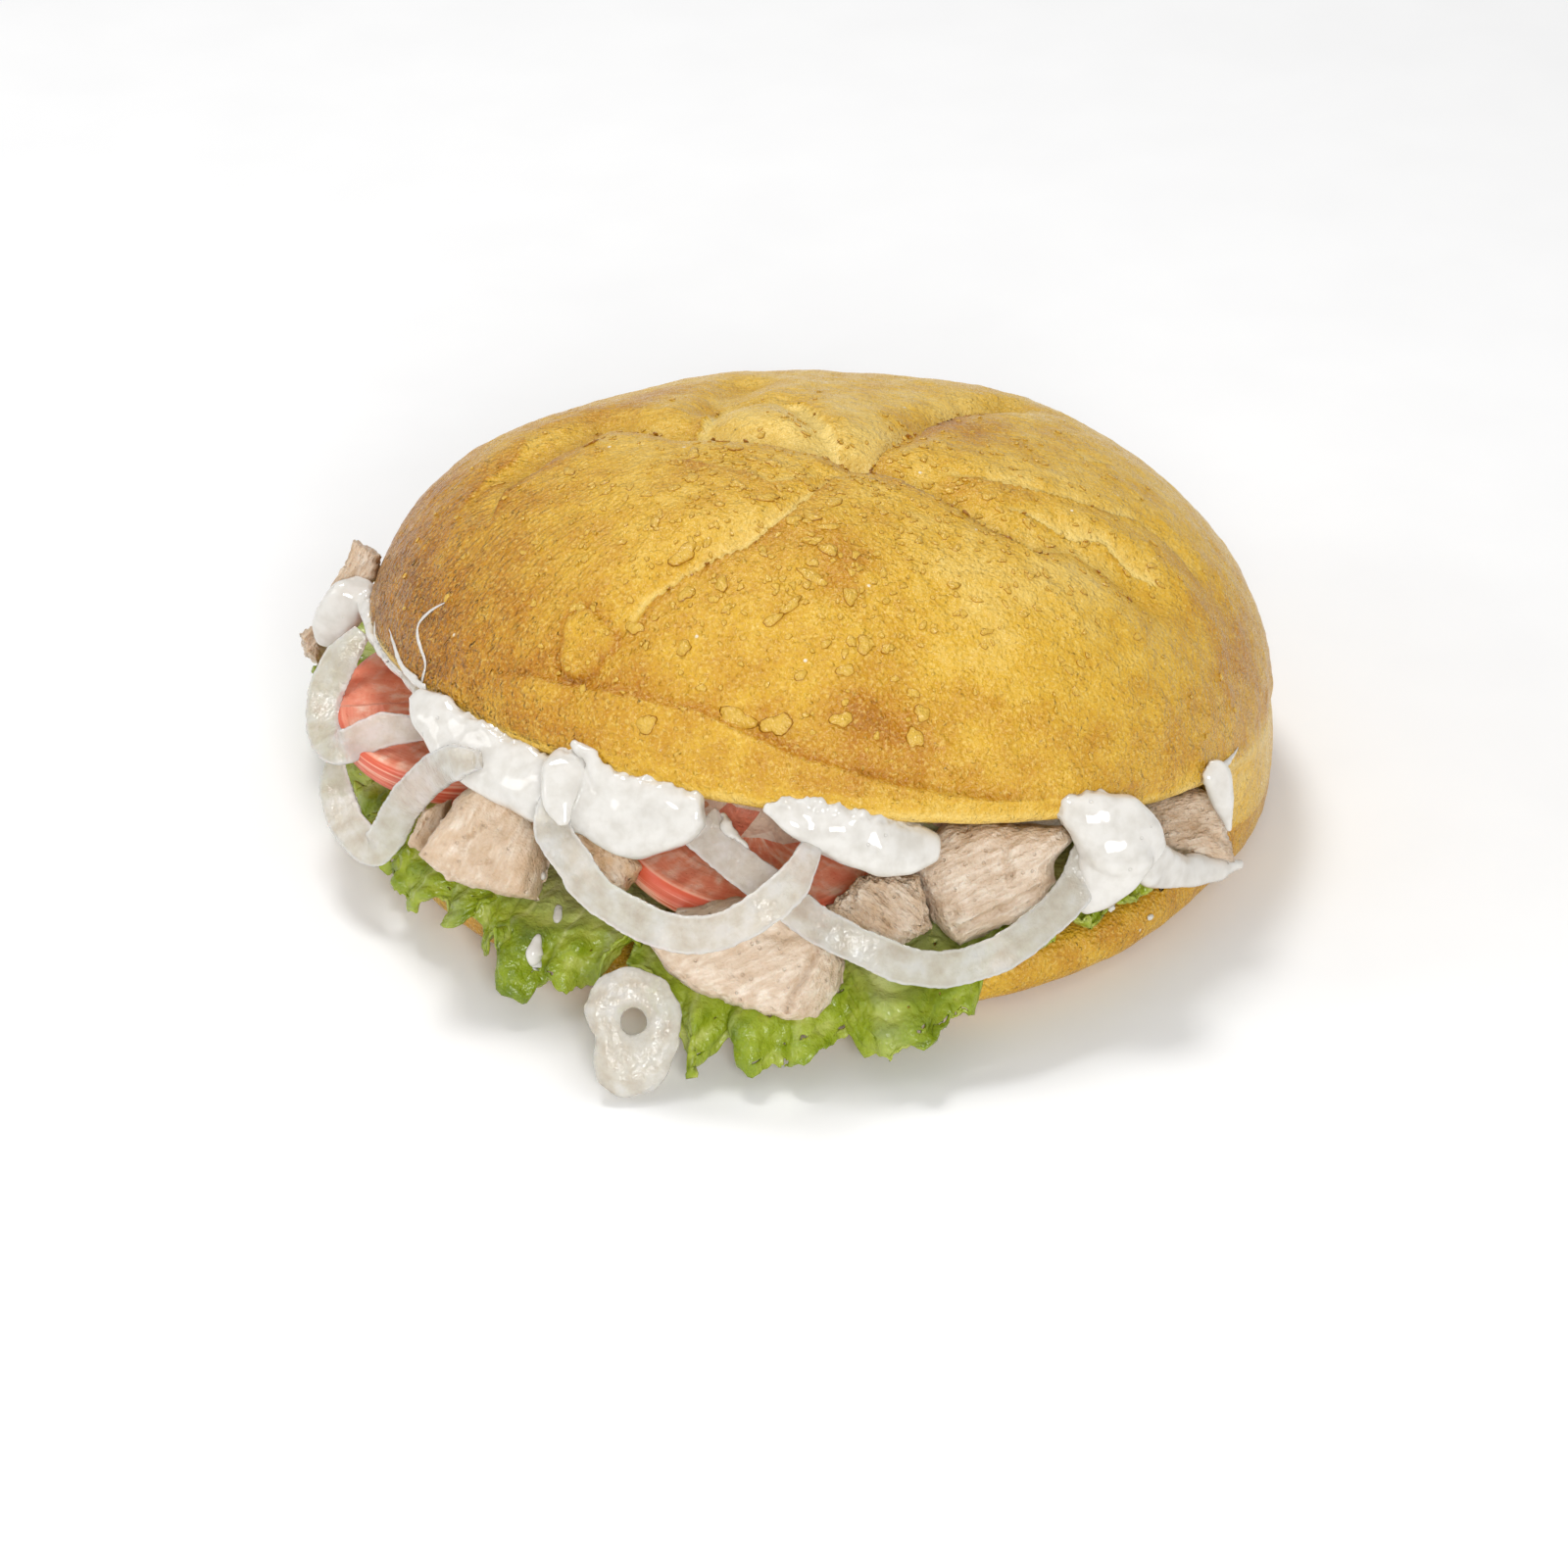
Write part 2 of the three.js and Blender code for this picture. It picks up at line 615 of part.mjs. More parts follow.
// Sauce: each run is a union of strands, given as paths of [x, y, z, width, thickness]
const sauces = [
  [
    [
      [-86, 7, 43, 3.5, 3], [-88, 4, 41, 7.5, 6], [-91, 4, 37, 8.5, 7],
      [-93, 5, 33, 6.5, 5], [-94, 6, 30, 3, 2],
    ],
    [
      [-86, 3, 41, 3.5, 3], [-84, -8, 41, 2.5, 3], [-80, -20, 42, 2, 3],
      [-76, -28, 42, 2, 3], [-71, -38, 43, 3.5, 3],
    ],
  ],
  [
    [
      [-73, -46, 49, 3, 3], [-69, -52, 47, 9, 5.5], [-60, -61.5, 45, 11.5, 6.5], [-51.5, -69, 43.5, 11.5, 7],
      [-44, -74, 44, 11, 8], [-35, -79, 44, 14.5, 8], [-28, -81.5, 45, 12.5, 7.5], [-22, -83, 46.5, 4.5, 4],
    ],
    [[-45, -70, 50, 6, 4], [-46, -75, 49.5, 7, 4], [-46.8, -78.8, 46.8, 5.5, 2.5], [-46, -82, 43.5, 2, 1.5]],
    [
      [-44.3, -71.2, 53.3, 1, 1], [-41.4, -73.6, 52.5, 2, 1.5], [-40.3, -75, 50.8, 3, 2.5],
      [-38, -77, 48, 5, 4],
    ],
  ],
  [
    [
      [-11, -84, 48, 2, 2], [-7, -85, 47, 6, 4], [-2, -85, 44.5, 10, 6],
      [3, -85, 42.5, 11, 7], [9, -85, 40, 10.5, 6.5], [14, -84.5, 38.5, 9, 6], [18, -84, 38, 4, 4],
    ],
  ],
  [
    [
      [40, -76.5, 41.5, 4, 3], [44.5, -77, 39.5, 10, 6], [49, -77.3, 36.5, 14, 8],
      [53, -77, 33, 12, 7.5], [55.5, -75.5, 30, 6, 5],
    ],
    [
      [50, -77, 37, 8, 6], [50, -77.6, 32.5, 13, 8], [48, -79, 28, 10, 6.5],
      [45.5, -81, 25, 5.5, 4.5], [43.5, -82.3, 23, 1.5, 1.5],
    ],
    [
      [52, -75, 31, 8, 6], [58, -67.5, 22.5, 7.5, 4], [62.5, -62.5, 18, 6, 3],
      [67, -57.5, 15, 4.5, 2.5], [71.5, -53.5, 12.8, 2.5, 2], [74.5, -51.5, 12, 1, 1],
    ],
  ],
  [[
    [66.5, -56, 34.5, 2.5, 2], [68.6, -55.6, 34.5, 5.5, 3.2], [69.6, -56.5, 31.5, 4.5, 3],
    [70.8, -57, 27.5, 2.2, 2], [71.6, -56.5, 22.5, 1.2, 1.2],
  ]],
];

function sauceSolid(strands) {
  return strands.map((path) => stripSolid(path, 6, 2 * (path.length - 1))).reduce((a, b) => a.add(b));
}

sauces.forEach((strands, i) => place(`sauce_${i + 1}`, sauceSolid(strands), sauceMaterial, coarseDetail));

// Chopped filling that fills the mouth behind the pieces at its edge
const heapRadius = 67;
const heapFloor = 16.5;
const heapSides = 18;
const heapWaviness = 0.03;
const hingeGap = 2;
const roofGap = 0.6;

// The heap's profile from the middle of its top to that of its floor: share of radius, share of height
const levels = [[0, 1], [0.94, 1], [1, 0.75], [1, 0.25], [0.94, 0], [0, 0]];

function heapSolid() {
  const rows = levels.length - 1;
  const heap = new THREE.SphereGeometry(1, heapSides, rows);
  const position = heap.attributes.position;
  const roofNormal = fromLid(0, 0, 1).sub(fromLid(0, 0, 0));
  const roofPoint = fromLid(0, 0, -lipDepth - roofGap);
  const slope = [roofNormal.x / roofNormal.z, roofNormal.y / roofNormal.z];
  for (let row = 0; row <= rows; row++) {
    for (let side = 0; side <= heapSides; side++) {
      const angle = ((side % heapSides) / heapSides) * 2 * Math.PI;
      const [share, rise] = levels[row];
      const reach = heapRadius * share * (1 + heapWaviness * Math.sin(5 * angle));
      const p = polar(angle / degrees, reach, 0);
      const over = Math.max(0, p.dot(hinge) - (hingeInset - hingeGap));
      p.addScaledVector(hinge, -over);
      const roof = roofPoint.z - (p.x - roofPoint.x) * slope[0] - (p.y - roofPoint.y) * slope[1];
      position.setXYZ(row * (heapSides + 1) + side, p.x, p.y, mix(heapFloor, roof, rise));
    }
  }
  return solidFrom(heap);
}

place("filling", heapSolid(), heapMaterial, coarseDetail);

export default kebab;
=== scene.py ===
"""The looks of a doner kebab sandwich in a round bread bun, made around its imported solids.

Lengths are in millimetres until a mesh is finished, and then it is scaled to metres.
The origin is the middle of the bun's flat underside. -Y is the front, where the filling shows.
"""
import math
import random

import bmesh
import bpy
import numpy as np
from mathutils import Euler, Matrix, Vector, noise
from mathutils.bvhtree import BVHTree


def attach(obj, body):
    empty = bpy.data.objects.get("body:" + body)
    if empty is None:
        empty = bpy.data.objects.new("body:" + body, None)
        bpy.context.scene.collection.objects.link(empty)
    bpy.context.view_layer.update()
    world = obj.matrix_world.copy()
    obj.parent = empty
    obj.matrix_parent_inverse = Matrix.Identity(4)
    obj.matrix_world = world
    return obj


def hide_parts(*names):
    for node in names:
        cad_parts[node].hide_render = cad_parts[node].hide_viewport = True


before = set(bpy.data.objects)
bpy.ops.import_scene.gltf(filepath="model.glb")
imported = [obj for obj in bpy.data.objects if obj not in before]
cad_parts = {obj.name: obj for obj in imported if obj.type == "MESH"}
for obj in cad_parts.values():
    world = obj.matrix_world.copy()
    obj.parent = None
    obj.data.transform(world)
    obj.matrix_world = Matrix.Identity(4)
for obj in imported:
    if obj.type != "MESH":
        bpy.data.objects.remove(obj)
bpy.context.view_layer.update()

MM = 0.001
draw = random.Random(7)

# The bun, as in its solid
BUN_RADIUS = 86
FLAT_RADIUS = 66
BASE_BULGE_HEIGHT = 6.5
HINGE_BULGE_HEIGHT = 4
BASE_LIP_HEIGHT = 12.5
BASE_LIP_INSET = 3
LID_CENTRE = np.array((1.3, -1.9, 31.7))
LID_TILT = 13.6
LID_RADIUS = 85.5
LID_HEIGHT = 45
RADIAL_POWER = 2.96
HEIGHT_POWER = 1.67
CROWN = (26, -8)
LIP_DEPTH = 3.6
LIP_CURL = 3.5
TILT_AZIMUTH = 56
HINGE_AZIMUTH = 50
HINGE_INSET = 16.5
MOUTH_CORNER_ANGLE = 18


# Numbers and shapes that every piece uses

def mix(a, b, t):
    return a + (b - a) * t


def smooth_step(x):
    x = np.clip(x, 0, 1)
    return x * x * (3 - 2 * x)


def screen_colour(red, green, blue):
    """Blender's linear colour for one that is read off a screen, each part 0 to 255."""
    def linear(part):
        share = part / 255
        return share / 12.92 if share <= 0.04045 else ((share + 0.055) / 1.055) ** 2.4
    return (linear(red), linear(green), linear(blue), 1.0)


def noise_at(points, size, seed=0.0):
    """Smooth noise from -1 to 1 at each point, in lumps of about that size."""
    shift = np.array((seed, 2.3 * seed, -1.7 * seed))
    scaled = np.asarray(points) / np.asarray(size, float) + shift
    return np.array([noise.noise(point) for point in scaled.tolist()])


def rough_noise_at(points, size, seed=0.0):
    """Noise with a second, finer layer on it."""
    half = np.asarray(size, float) / 2.2
    return noise_at(points, size, seed) + 0.5 * noise_at(points, half, seed + 9)


def layered_noise(points, layers, seed=0):
    """Noise from layers of (height, size, seed), every seed moved on by the one given."""
    return sum(height * noise_at(points, size, own + seed) for height, size, own in layers)


def unit(vectors):
    return vectors / np.maximum(np.linalg.norm(vectors, axis=-1, keepdims=True), 1e-9)


def polar(azimuth, radius, height):
    turn = np.radians(azimuth)
    return np.stack([radius * np.cos(turn), radius * np.sin(turn), height + 0 * turn], -1)


def mesh_of(bm, name):
    mesh = bpy.data.meshes.new(name)
    bm.to_mesh(mesh)
    bm.free()
    return mesh


def ball_mesh(name, around, rows):
    """A closed ball, whose columns and rows are then led to a piece's own shape."""
    bm = bmesh.new()
    bmesh.ops.create_grid(bm, x_segments=around, y_segments=rows, size=0.5)
    for vert in bm.verts:
        turn = (vert.co.x + 0.5) * math.tau
        drop = (vert.co.y + 0.5) * math.pi
        vert.co = (math.sin(drop) * math.cos(turn), math.sin(drop) * math.sin(turn), math.cos(drop))
    bmesh.ops.remove_doubles(bm, verts=bm.verts, dist=1e-5)
    bmesh.ops.recalc_face_normals(bm, faces=bm.faces)
    return mesh_of(bm, name)


def points_of(mesh):
    points = np.zeros(len(mesh.vertices) * 3, np.float32)
    mesh.vertices.foreach_get("co", points)
    return points.reshape(-1, 3).astype(float)


def set_points(mesh, points):
    mesh.vertices.foreach_set("co", points.astype(np.float32).ravel())
    mesh.update()


def normals_of(mesh):
    normals = np.zeros(len(mesh.vertices) * 3, np.float32)
    mesh.vertex_normals.foreach_get("vector", normals)
    return normals.reshape(-1, 3).astype(float)


def ball_rows(mesh, rows):
    """Each vertex's turn round the ball in degrees, and its row as a share from top to bottom."""
    points = points_of(mesh)
    turn = np.degrees(np.arctan2(points[:, 1], points[:, 0]))
    row = np.rint(np.arccos(np.clip(points[:, 2], -1, 1)) / math.pi * rows)
    return turn, row / rows


def set_number(mesh, name, values):
    mesh.attributes.new(name, "FLOAT", "POINT").data.foreach_set("value", values.astype(np.float32))


def set_vector(mesh, name, vectors):
    layer = mesh.attributes.new(name, "FLOAT_VECTOR", "POINT")
    layer.data.foreach_set("vector", vectors.astype(np.float32).ravel())


def outwards(mesh):
    """Turns the faces of a closed mesh outwards."""
    bm = bmesh.new()
    bm.from_mesh(mesh)
    bmesh.ops.remove_doubles(bm, verts=bm.verts, dist=1e-4)
    bmesh.ops.recalc_face_normals(bm, faces=bm.faces)
    bm.to_mesh(mesh)
    bm.free()
    return mesh


def finished_piece(mesh, finish, node=None):
    """Scales a mesh to metres and adds it to the sandwich, in place of its solid if it has one."""
    mesh.transform(Matrix.Scale(MM, 4))
    mesh.polygons.foreach_set("use_smooth", [True] * len(mesh.polygons))
    mesh.materials.clear()
    mesh.materials.append(finish)
    piece = bpy.data.objects.new(mesh.name, mesh)
    bpy.context.scene.collection.objects.link(piece)
    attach(piece, "root")
    if node:
        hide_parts(node)
    return piece


def with_modifiers(mesh, **kinds):
    """The mesh after the modifiers named, each with its settings."""
    carrier = bpy.data.objects.new("carrier", mesh)
    bpy.context.scene.collection.objects.link(carrier)
    for kind, settings in kinds.items():
        modifier = carrier.modifiers.new(kind, kind.upper())
        for setting, value in settings.items():
            setattr(modifier, setting, value)
    graph = bpy.context.evaluated_depsgraph_get()
    result = bpy.data.meshes.new_from_object(carrier.evaluated_get(graph))
    name = mesh.name
    bpy.data.objects.remove(carrier)
    bpy.data.meshes.remove(mesh)
    result.name = name
    return result


# Finishes

class Finish:
    """A material that is put together from shader nodes; sizes of patterns are in millimetres."""

    def __init__(self, name):
        self.material = bpy.data.materials.new(name)
        self.material.use_nodes = True
        self.tree = self.material.node_tree
        self.shader = self.tree.nodes["Principled BSDF"]
        self.place = self.node("ShaderNodeTexCoord").outputs["Object"]

    def node(self, kind, **settings):
        made = self.tree.nodes.new(kind)
        for name, value in settings.items():
            setattr(made, name, value)
        return made

    def link(self, source, target):
        self.tree.links.new(source, target)

    def set(self, **values):
        for name, value in values.items():
            self.shader.inputs[name.replace("_", " ")].default_value = value
        return self

    def attribute(self, name, output="Fac"):
        return self.node("ShaderNodeAttribute", attribute_name=name).outputs[output]

    def stretched(self, coordinates, x, y, z):
        mapping = self.node("ShaderNodeMapping")
        mapping.inputs["Scale"].default_value = (x, y, z)
        self.link(coordinates, mapping.inputs["Vector"])
        return mapping.outputs["Vector"]

    def noise(self, size, detail=2, coordinates=None, unit_mm=MM):
        made = self.node("ShaderNodeTexNoise")
        made.inputs["Scale"].default_value = 1 / (size * unit_mm)
        made.inputs["Detail"].default_value = detail
        self.link(coordinates or self.place, made.inputs["Vector"])
        return made.outputs["Fac"]

    def cells(self, size, coordinates=None, unit_mm=MM, feature="F1"):
        made = self.node("ShaderNodeTexVoronoi", feature=feature)
        made.inputs["Scale"].default_value = 1 / (size * unit_mm)
        self.link(coordinates or self.place, made.inputs["Vector"])
        return made.outputs["Distance"]

    def math(self, operation, a, b=0.0):
        made = self.node("ShaderNodeMath", operation=operation)
        for socket, value in zip(made.inputs, (a, b)):
            if isinstance(value, (int, float)):
                socket.default_value = value
            else:
                self.link(value, socket)
        return made.outputs[0]

    def mixed(self, first, first_share, second, second_share):
        first_part = self.math("MULTIPLY", first, first_share)
        second_part = self.math("MULTIPLY", second, second_share)
        return self.math("ADD", first_part, second_part)

    def within(self, value, low, high, to_low=0.0, to_high=1.0):
        """The value's range stretched to another, and held inside it."""
        made = self.node("ShaderNodeMapRange")
        made.inputs["From Min"].default_value = low
        made.inputs["From Max"].default_value = high
        made.inputs["To Min"].default_value = to_low
        made.inputs["To Max"].default_value = to_high
        self.link(value, made.inputs["Value"])
        return made.outputs["Result"]

    def ramp(self, value, *stops):
        """A colour for each share of the value: stops of (share, colour)."""
        made = self.node("ShaderNodeValToRGB")
        while len(made.color_ramp.elements) < len(stops):
            made.color_ramp.elements.new(0.5)
        for element, (share, colour) in zip(made.color_ramp.elements, stops):
            element.position = share
            element.color = colour
        self.link(value, made.inputs["Fac"])
        return made.outputs["Color"]

    def blend(self, share, first, second):
        made = self.node("ShaderNodeMix", data_type="RGBA")
        for socket, value in zip((made.inputs[0], made.inputs[6], made.inputs[7]), (share, first, second)):
            if isinstance(value, (int, float, tuple)):
                socket.default_value = value
            else:
                self.link(value, socket)
        return made.outputs[2]

    def colour(self, source):
        self.link(source, self.shader.inputs["Base Color"])
        return self

    def rough(self, source):
        self.link(source, self.shader.inputs["Roughness"])
        return self

    def bumps(self, *layers):
        """Bumps of (height, depth in mm) on one another."""
        below = None
        for height, depth in layers:
            made = self.node("ShaderNodeBump")
            made.inputs["Distance"].default_value = depth * MM
            self.link(height, made.inputs["Height"])
            if below:
                self.link(below, made.inputs["Normal"])
            below = made.outputs["Normal"]
        self.link(below, self.shader.inputs["Normal"])
        return self


def crust_finish():
    """Golden crust: browner on the left and on crests, paler in stretched creases, with a fine grain of
    painted highlights.
    """
    crust = Finish("golden_crust")
    mottle = crust.within(crust.noise(7, detail=4), 0.3, 0.7, -0.12, 0.12)
    speckle = crust.within(crust.noise(0.7, detail=2), 0.3, 0.7, -0.07, 0.07)
    browning = crust.math("ADD", crust.math("ADD", crust.attribute("browning"), mottle), speckle)
    gold = crust.ramp(
        browning,
        (0.0, screen_colour(240, 208, 118)),
        (0.35, screen_colour(221, 174, 50)),
        (0.7, screen_colour(186, 122, 8)),
        (1.0, screen_colour(128, 72, 10)),
    )
    flecks = crust.within(crust.cells(8), 0.03, 0.05, 0.8, 0)
    # Painted highlights: a fine bright sparkle blended over the gold.
    grain = crust.within(crust.noise(0.6, detail=1), 0.55, 0.7, 0, 0.4)
    gold = crust.blend(grain, gold, screen_colour(248, 216, 120))
    crust.colour(crust.blend(flecks, gold, screen_colour(244, 238, 220)))
    flow = crust.stretched(crust.attribute("flow", "Vector"), 1.0, 0.32, 1.0)
    stripes = crust.noise(1.1, detail=1, coordinates=flow, unit_mm=1)
    streaks = crust.math("MULTIPLY", stripes, crust.attribute("streaks"))
    pearls = crust.within(crust.cells(1.2), 0.15, 0.4, 1, 0)
    crust.bumps(
        (crust.noise(3.2, detail=3), 1.2),
        (streaks, 2.4),
        (pearls, 0.14),
        (crust.noise(0.6, detail=2), 0.42),
    )
    crust.rough(crust.within(crust.noise(1.2), 0.3, 0.7, 0.22, 0.36))
    crust.set(Specular_IOR_Level=0.45)
    return crust.material


def blister_finish():
    """Little glossy blisters and flakes of the same crust, darker round their edges with painted shade where
    they meet the crust.
    """
    blister = Finish("blistered_crust")
    uneven = blister.within(blister.noise(1.5), 0.3, 0.7, -0.15, 0.15)
    # Painted shade: the edge value darkens each blister's rim and underside.
    blister.colour(blister.ramp(
        blister.math("ADD", blister.attribute("edge"), uneven),
        (0.0, screen_colour(220, 178, 68)),
        (0.6, screen_colour(208, 162, 52)),
        (0.9, screen_colour(160, 104, 22)),
    ))
    blister.bumps((blister.noise(1.4, detail=2), 0.9), (blister.noise(0.5), 0.25))
    blister.set(Roughness=0.22, Specular_IOR_Level=0.6)
    return blister.material


def chicken_finish():
    """Cooked breast meat: creamy beige, finely grained, with pores, faint fibres and painted shade in its
    cracks and pits.
    """
    chicken = Finish("torn_chicken")
    grain = chicken.attribute("grain", "Vector")
    fibres = chicken.noise(0.9, detail=3, coordinates=chicken.stretched(grain, 1, 0.25, 1), unit_mm=1)
    patches = chicken.noise(5, detail=2)
    shade = chicken.mixed(fibres, 0.55, patches, 0.45)
    # Painted shade: darker in the cracks, pits and between fibres.
    shade = chicken.math("SUBTRACT", shade, chicken.attribute("painted_hollow_shade"))
    cream = chicken.ramp(
        shade,
        (0.15, screen_colour(176, 138, 102)),
        (0.36, screen_colour(204, 178, 150)),
        (0.5, screen_colour(216, 194, 170)),
        (0.66, screen_colour(236, 222, 204)),
    )
    spots = chicken.within(chicken.noise(3, detail=3), 0.3, 0.6)
    tan = chicken.math("MULTIPLY", chicken.attribute("roast"), spots)
    chicken.colour(chicken.blend(tan, cream, screen_colour(196, 158, 112)))
    pores = chicken.within(chicken.cells(1.9), 0.06, 0.2)
    fibre_depth = chicken.math("MULTIPLY", fibres, chicken.attribute("tears"))
    chicken.bumps(
        (fibre_depth, 0.8),
        (pores, 0.25),
        (chicken.noise(0.7, detail=3), 0.25),
        (chicken.cells(0.5), -0.08),
    )
    chicken.rough(chicken.within(chicken.noise(1.1), 0.35, 0.65, 0.32, 0.55))
    chicken.set(Subsurface_Weight=0.15, Subsurface_Scale=0.002)
    chicken.shader.inputs["Subsurface Radius"].default_value = (1.0, 0.6, 0.4)
    return chicken.material


def tomato_finish():
    """Tomato: a glossy rim of skin with a few pale lines along it, and coral flesh with pale streaks."""
    tomato = Finish("sliced_tomato")
    grain = tomato.attribute("grain", "Vector")
    spokes = tomato.noise(1.2, detail=3, coordinates=tomato.stretched(grain, 1, 0.3, 1), unit_mm=1)
    flesh = tomato.ramp(
        spokes,
        (0.3, screen_colour(228, 124, 96)),
        (0.5, screen_colour(239, 154, 126)),
        (0.7, screen_colour(248, 200, 178)),
    )
    rings = tomato.noise(1.1, detail=1, coordinates=tomato.stretched(grain, 0.02, 1, 1), unit_mm=1)
    skin = tomato.ramp(
        rings,
        (0.42, screen_colour(220, 100, 72)),
        (0.52, screen_colour(232, 124, 96)),
        (0.6, screen_colour(244, 176, 150)),
    )
    tomato.colour(tomato.blend(tomato.attribute("skin"), flesh, skin))
    pores = tomato.within(tomato.cells(0.9), 0.05, 0.3)
    tomato.bumps((spokes, 0.12), (rings, 0.25), (pores, 0.06))
    tomato.set(Roughness=0.26, Subsurface_Weight=0.3, Subsurface_Scale=0.004)
    tomato.shader.inputs["Subsurface Radius"].default_value = (1.0, 0.45, 0.3)
    return tomato.material


def onion_finish():
    """Raw onion: milky and half clear, smooth and wet, with faint lines along each strip and a painted
    highlight along its edges.
    """
    onion = Finish("raw_onion")
    grain = onion.attribute("grain", "Vector")
    lines = onion.noise(1.2, detail=2, coordinates=onion.stretched(grain, 1, 0.05, 1), unit_mm=1)
    cloud = onion.noise(3.5, detail=4)
    shade = onion.mixed(lines, 0.2, cloud, 0.8)
    milky = onion.ramp(
        shade,
        (0.32, screen_colour(222, 212, 196)),
        (0.48, screen_colour(238, 232, 220)),
        (0.62, screen_colour(251, 249, 243)),
    )
    # Painted highlight: near-white along each strip's edges.
    onion.colour(onion.blend(onion.attribute("edge"), milky, screen_colour(254, 253, 250)))
    onion.bumps((lines, 0.06), (onion.noise(1.3, detail=2), 0.35))
    onion.set(Roughness=0.1, IOR=1.33, Transmission_Weight=0.5, Subsurface_Weight=0.3, Subsurface_Scale=0.003)
    onion.shader.inputs["Subsurface Radius"].default_value = (1.0, 0.95, 0.85)
    return onion.material


def lettuce_finish():
    """Frilly lettuce: yellow-green, paler on ribs and at the frills, with painted light on raised ridges and
    painted shade in the folds.
    """
    lettuce = Finish("frilly_lettuce")
    patches = lettuce.noise(4, detail=4)
    # Painted light and shade: lighter where the leaf rises, darker in its folds.
    height = lettuce.attribute("painted_ridge_light")
    shade = lettuce.mixed(patches, 0.5, height, 0.5)
    green = lettuce.ramp(
        shade,
        (0.25, screen_colour(88, 108, 8)),
        (0.42, screen_colour(130, 148, 22)),
        (0.56, screen_colour(156, 170, 46)),
        (0.75, screen_colour(200, 206, 112)),
    )
    pale = screen_colour(222, 226, 160)
    lettuce.colour(lettuce.blend(lettuce.attribute("pale"), green, pale))
    veins = lettuce.within(lettuce.cells(2.6, feature="DISTANCE_TO_EDGE"), 0, 0.3)
    lettuce.bumps((veins, 0.1), (lettuce.noise(1.4, detail=2), 0.5), (lettuce.noise(0.4), 0.1))
    lettuce.set(Roughness=0.22, Subsurface_Weight=0.3, Subsurface_Scale=0.002)
    lettuce.shader.inputs["Subsurface Radius"].default_value = (0.8, 1.0, 0.3)
    return lettuce.material


def sauce_finish():
    """Thick white yoghurt sauce with tiny bubbles."""
    sauce = Finish("white_sauce")
    sauce.colour(sauce.ramp(
        sauce.noise(2.5, detail=3),
        (0.3, screen_colour(212, 208, 200)),
        (0.6, screen_colour(225, 222, 216)),
    ))
    bubbles = sauce.within(sauce.cells(4.2), 0.05, 0.09)
    sauce.bumps((sauce.noise(3.5, detail=0), 0.2), (bubbles, 0.15))
    sauce.set(Roughness=0.08, Subsurface_Weight=0.2, Subsurface_Scale=0.002)
    sauce.shader.inputs["Subsurface Radius"].default_value = (1.0, 0.95, 0.85)
    return sauce.material


def filling_finish():
    """Chopped meat and salad packed together, wet with sauce, with dark patches of painted shade as between
    the bits.
    """
    filling = Finish("chopped_filling")
    bits = filling.node("ShaderNodeTexVoronoi")
    bits.inputs["Scale"].default_value = 1 / (5 * MM)
    filling.link(filling.place, bits.inputs["Vector"])
    kind = filling.node("ShaderNodeSeparateColor")
    filling.link(bits.outputs["Color"], kind.inputs["Color"])
    colour = filling.ramp(
        kind.outputs["Red"],
        (0.0, screen_colour(218, 186, 162)),
        (0.5, screen_colour(230, 208, 186)),
        (0.66, screen_colour(240, 230, 216)),
        (0.9, screen_colour(150, 160, 84)),
        (0.96, screen_colour(210, 120, 92)),
    )
    # Painted shade: dark brown patches, as in the gaps between the bits.
    painted_gap_shade = filling.within(filling.noise(1.2, detail=3), 0.3, 0.7, 0, 0.25)
    filling.colour(filling.blend(painted_gap_shade, colour, screen_colour(140, 106, 80)))
    filling.bumps((bits.outputs["Distance"], -1.4), (filling.noise(0.8, detail=3), 0.5))
    filling.set(Roughness=0.45)
    return filling.material


# The bread

def near(azimuth, centre, spread):
    off = (azimuth - centre + 540) % 360 - 180
    return np.exp(-((off / spread) ** 2))


def out_of_round(azimuth):
    return 0.015 * near(azimuth, 170, 25) - 0.024 * near(azimuth, -8, 30) + 0.012 * near(azimuth, 100, 35)


def out_of_round_base(azimuth):
    return 0.6 * out_of_round(azimuth) - 0.02 * near(azimuth, -35, 14)


lid_turn = np.array(Matrix.Rotation(
    math.radians(LID_TILT), 3,
    Vector((-math.sin(math.radians(TILT_AZIMUTH)), math.cos(math.radians(TILT_AZIMUTH)), 0)),
))


def from_lid(points):
    """From the lid's own frame, whose z is its height, to the part's frame."""
    return np.asarray(points, float) @ lid_turn.T + LID_CENTRE


def dome_height(out):
    return LID_HEIGHT * (1 - np.clip(out, 0, 1) ** RADIAL_POWER) ** (1 / HEIGHT_POWER)


def dome_normals(x, y, out):
    """Outward normals of the plain dome in the lid's frame."""
    radius = np.maximum(np.hypot(x, y), 1e-6)
    share = dome_height(out) / LID_HEIGHT
    outward = RADIAL_POWER * np.maximum(out, 1e-4) ** (RADIAL_POWER - 1) / LID_RADIUS
    upward = HEIGHT_POWER * np.maximum(share, 1e-3) ** (HEIGHT_POWER - 1) / LID_HEIGHT
    return unit(np.stack([outward * x / radius, outward * y / radius, upward], -1))


# Broad swellings of the dome: height, width, middle
SWELLINGS = [
    (2.6, 24, (-12, -44)), (1.6, 20, (34, -62)), (1.6, 14, (-14, -4)), (1.8, 22, (46, 4)),
    (-1.6, 13, (12, -80)), (-2.6, 32, (-42, 34)), (1.6, 26, (30, 42)),
]

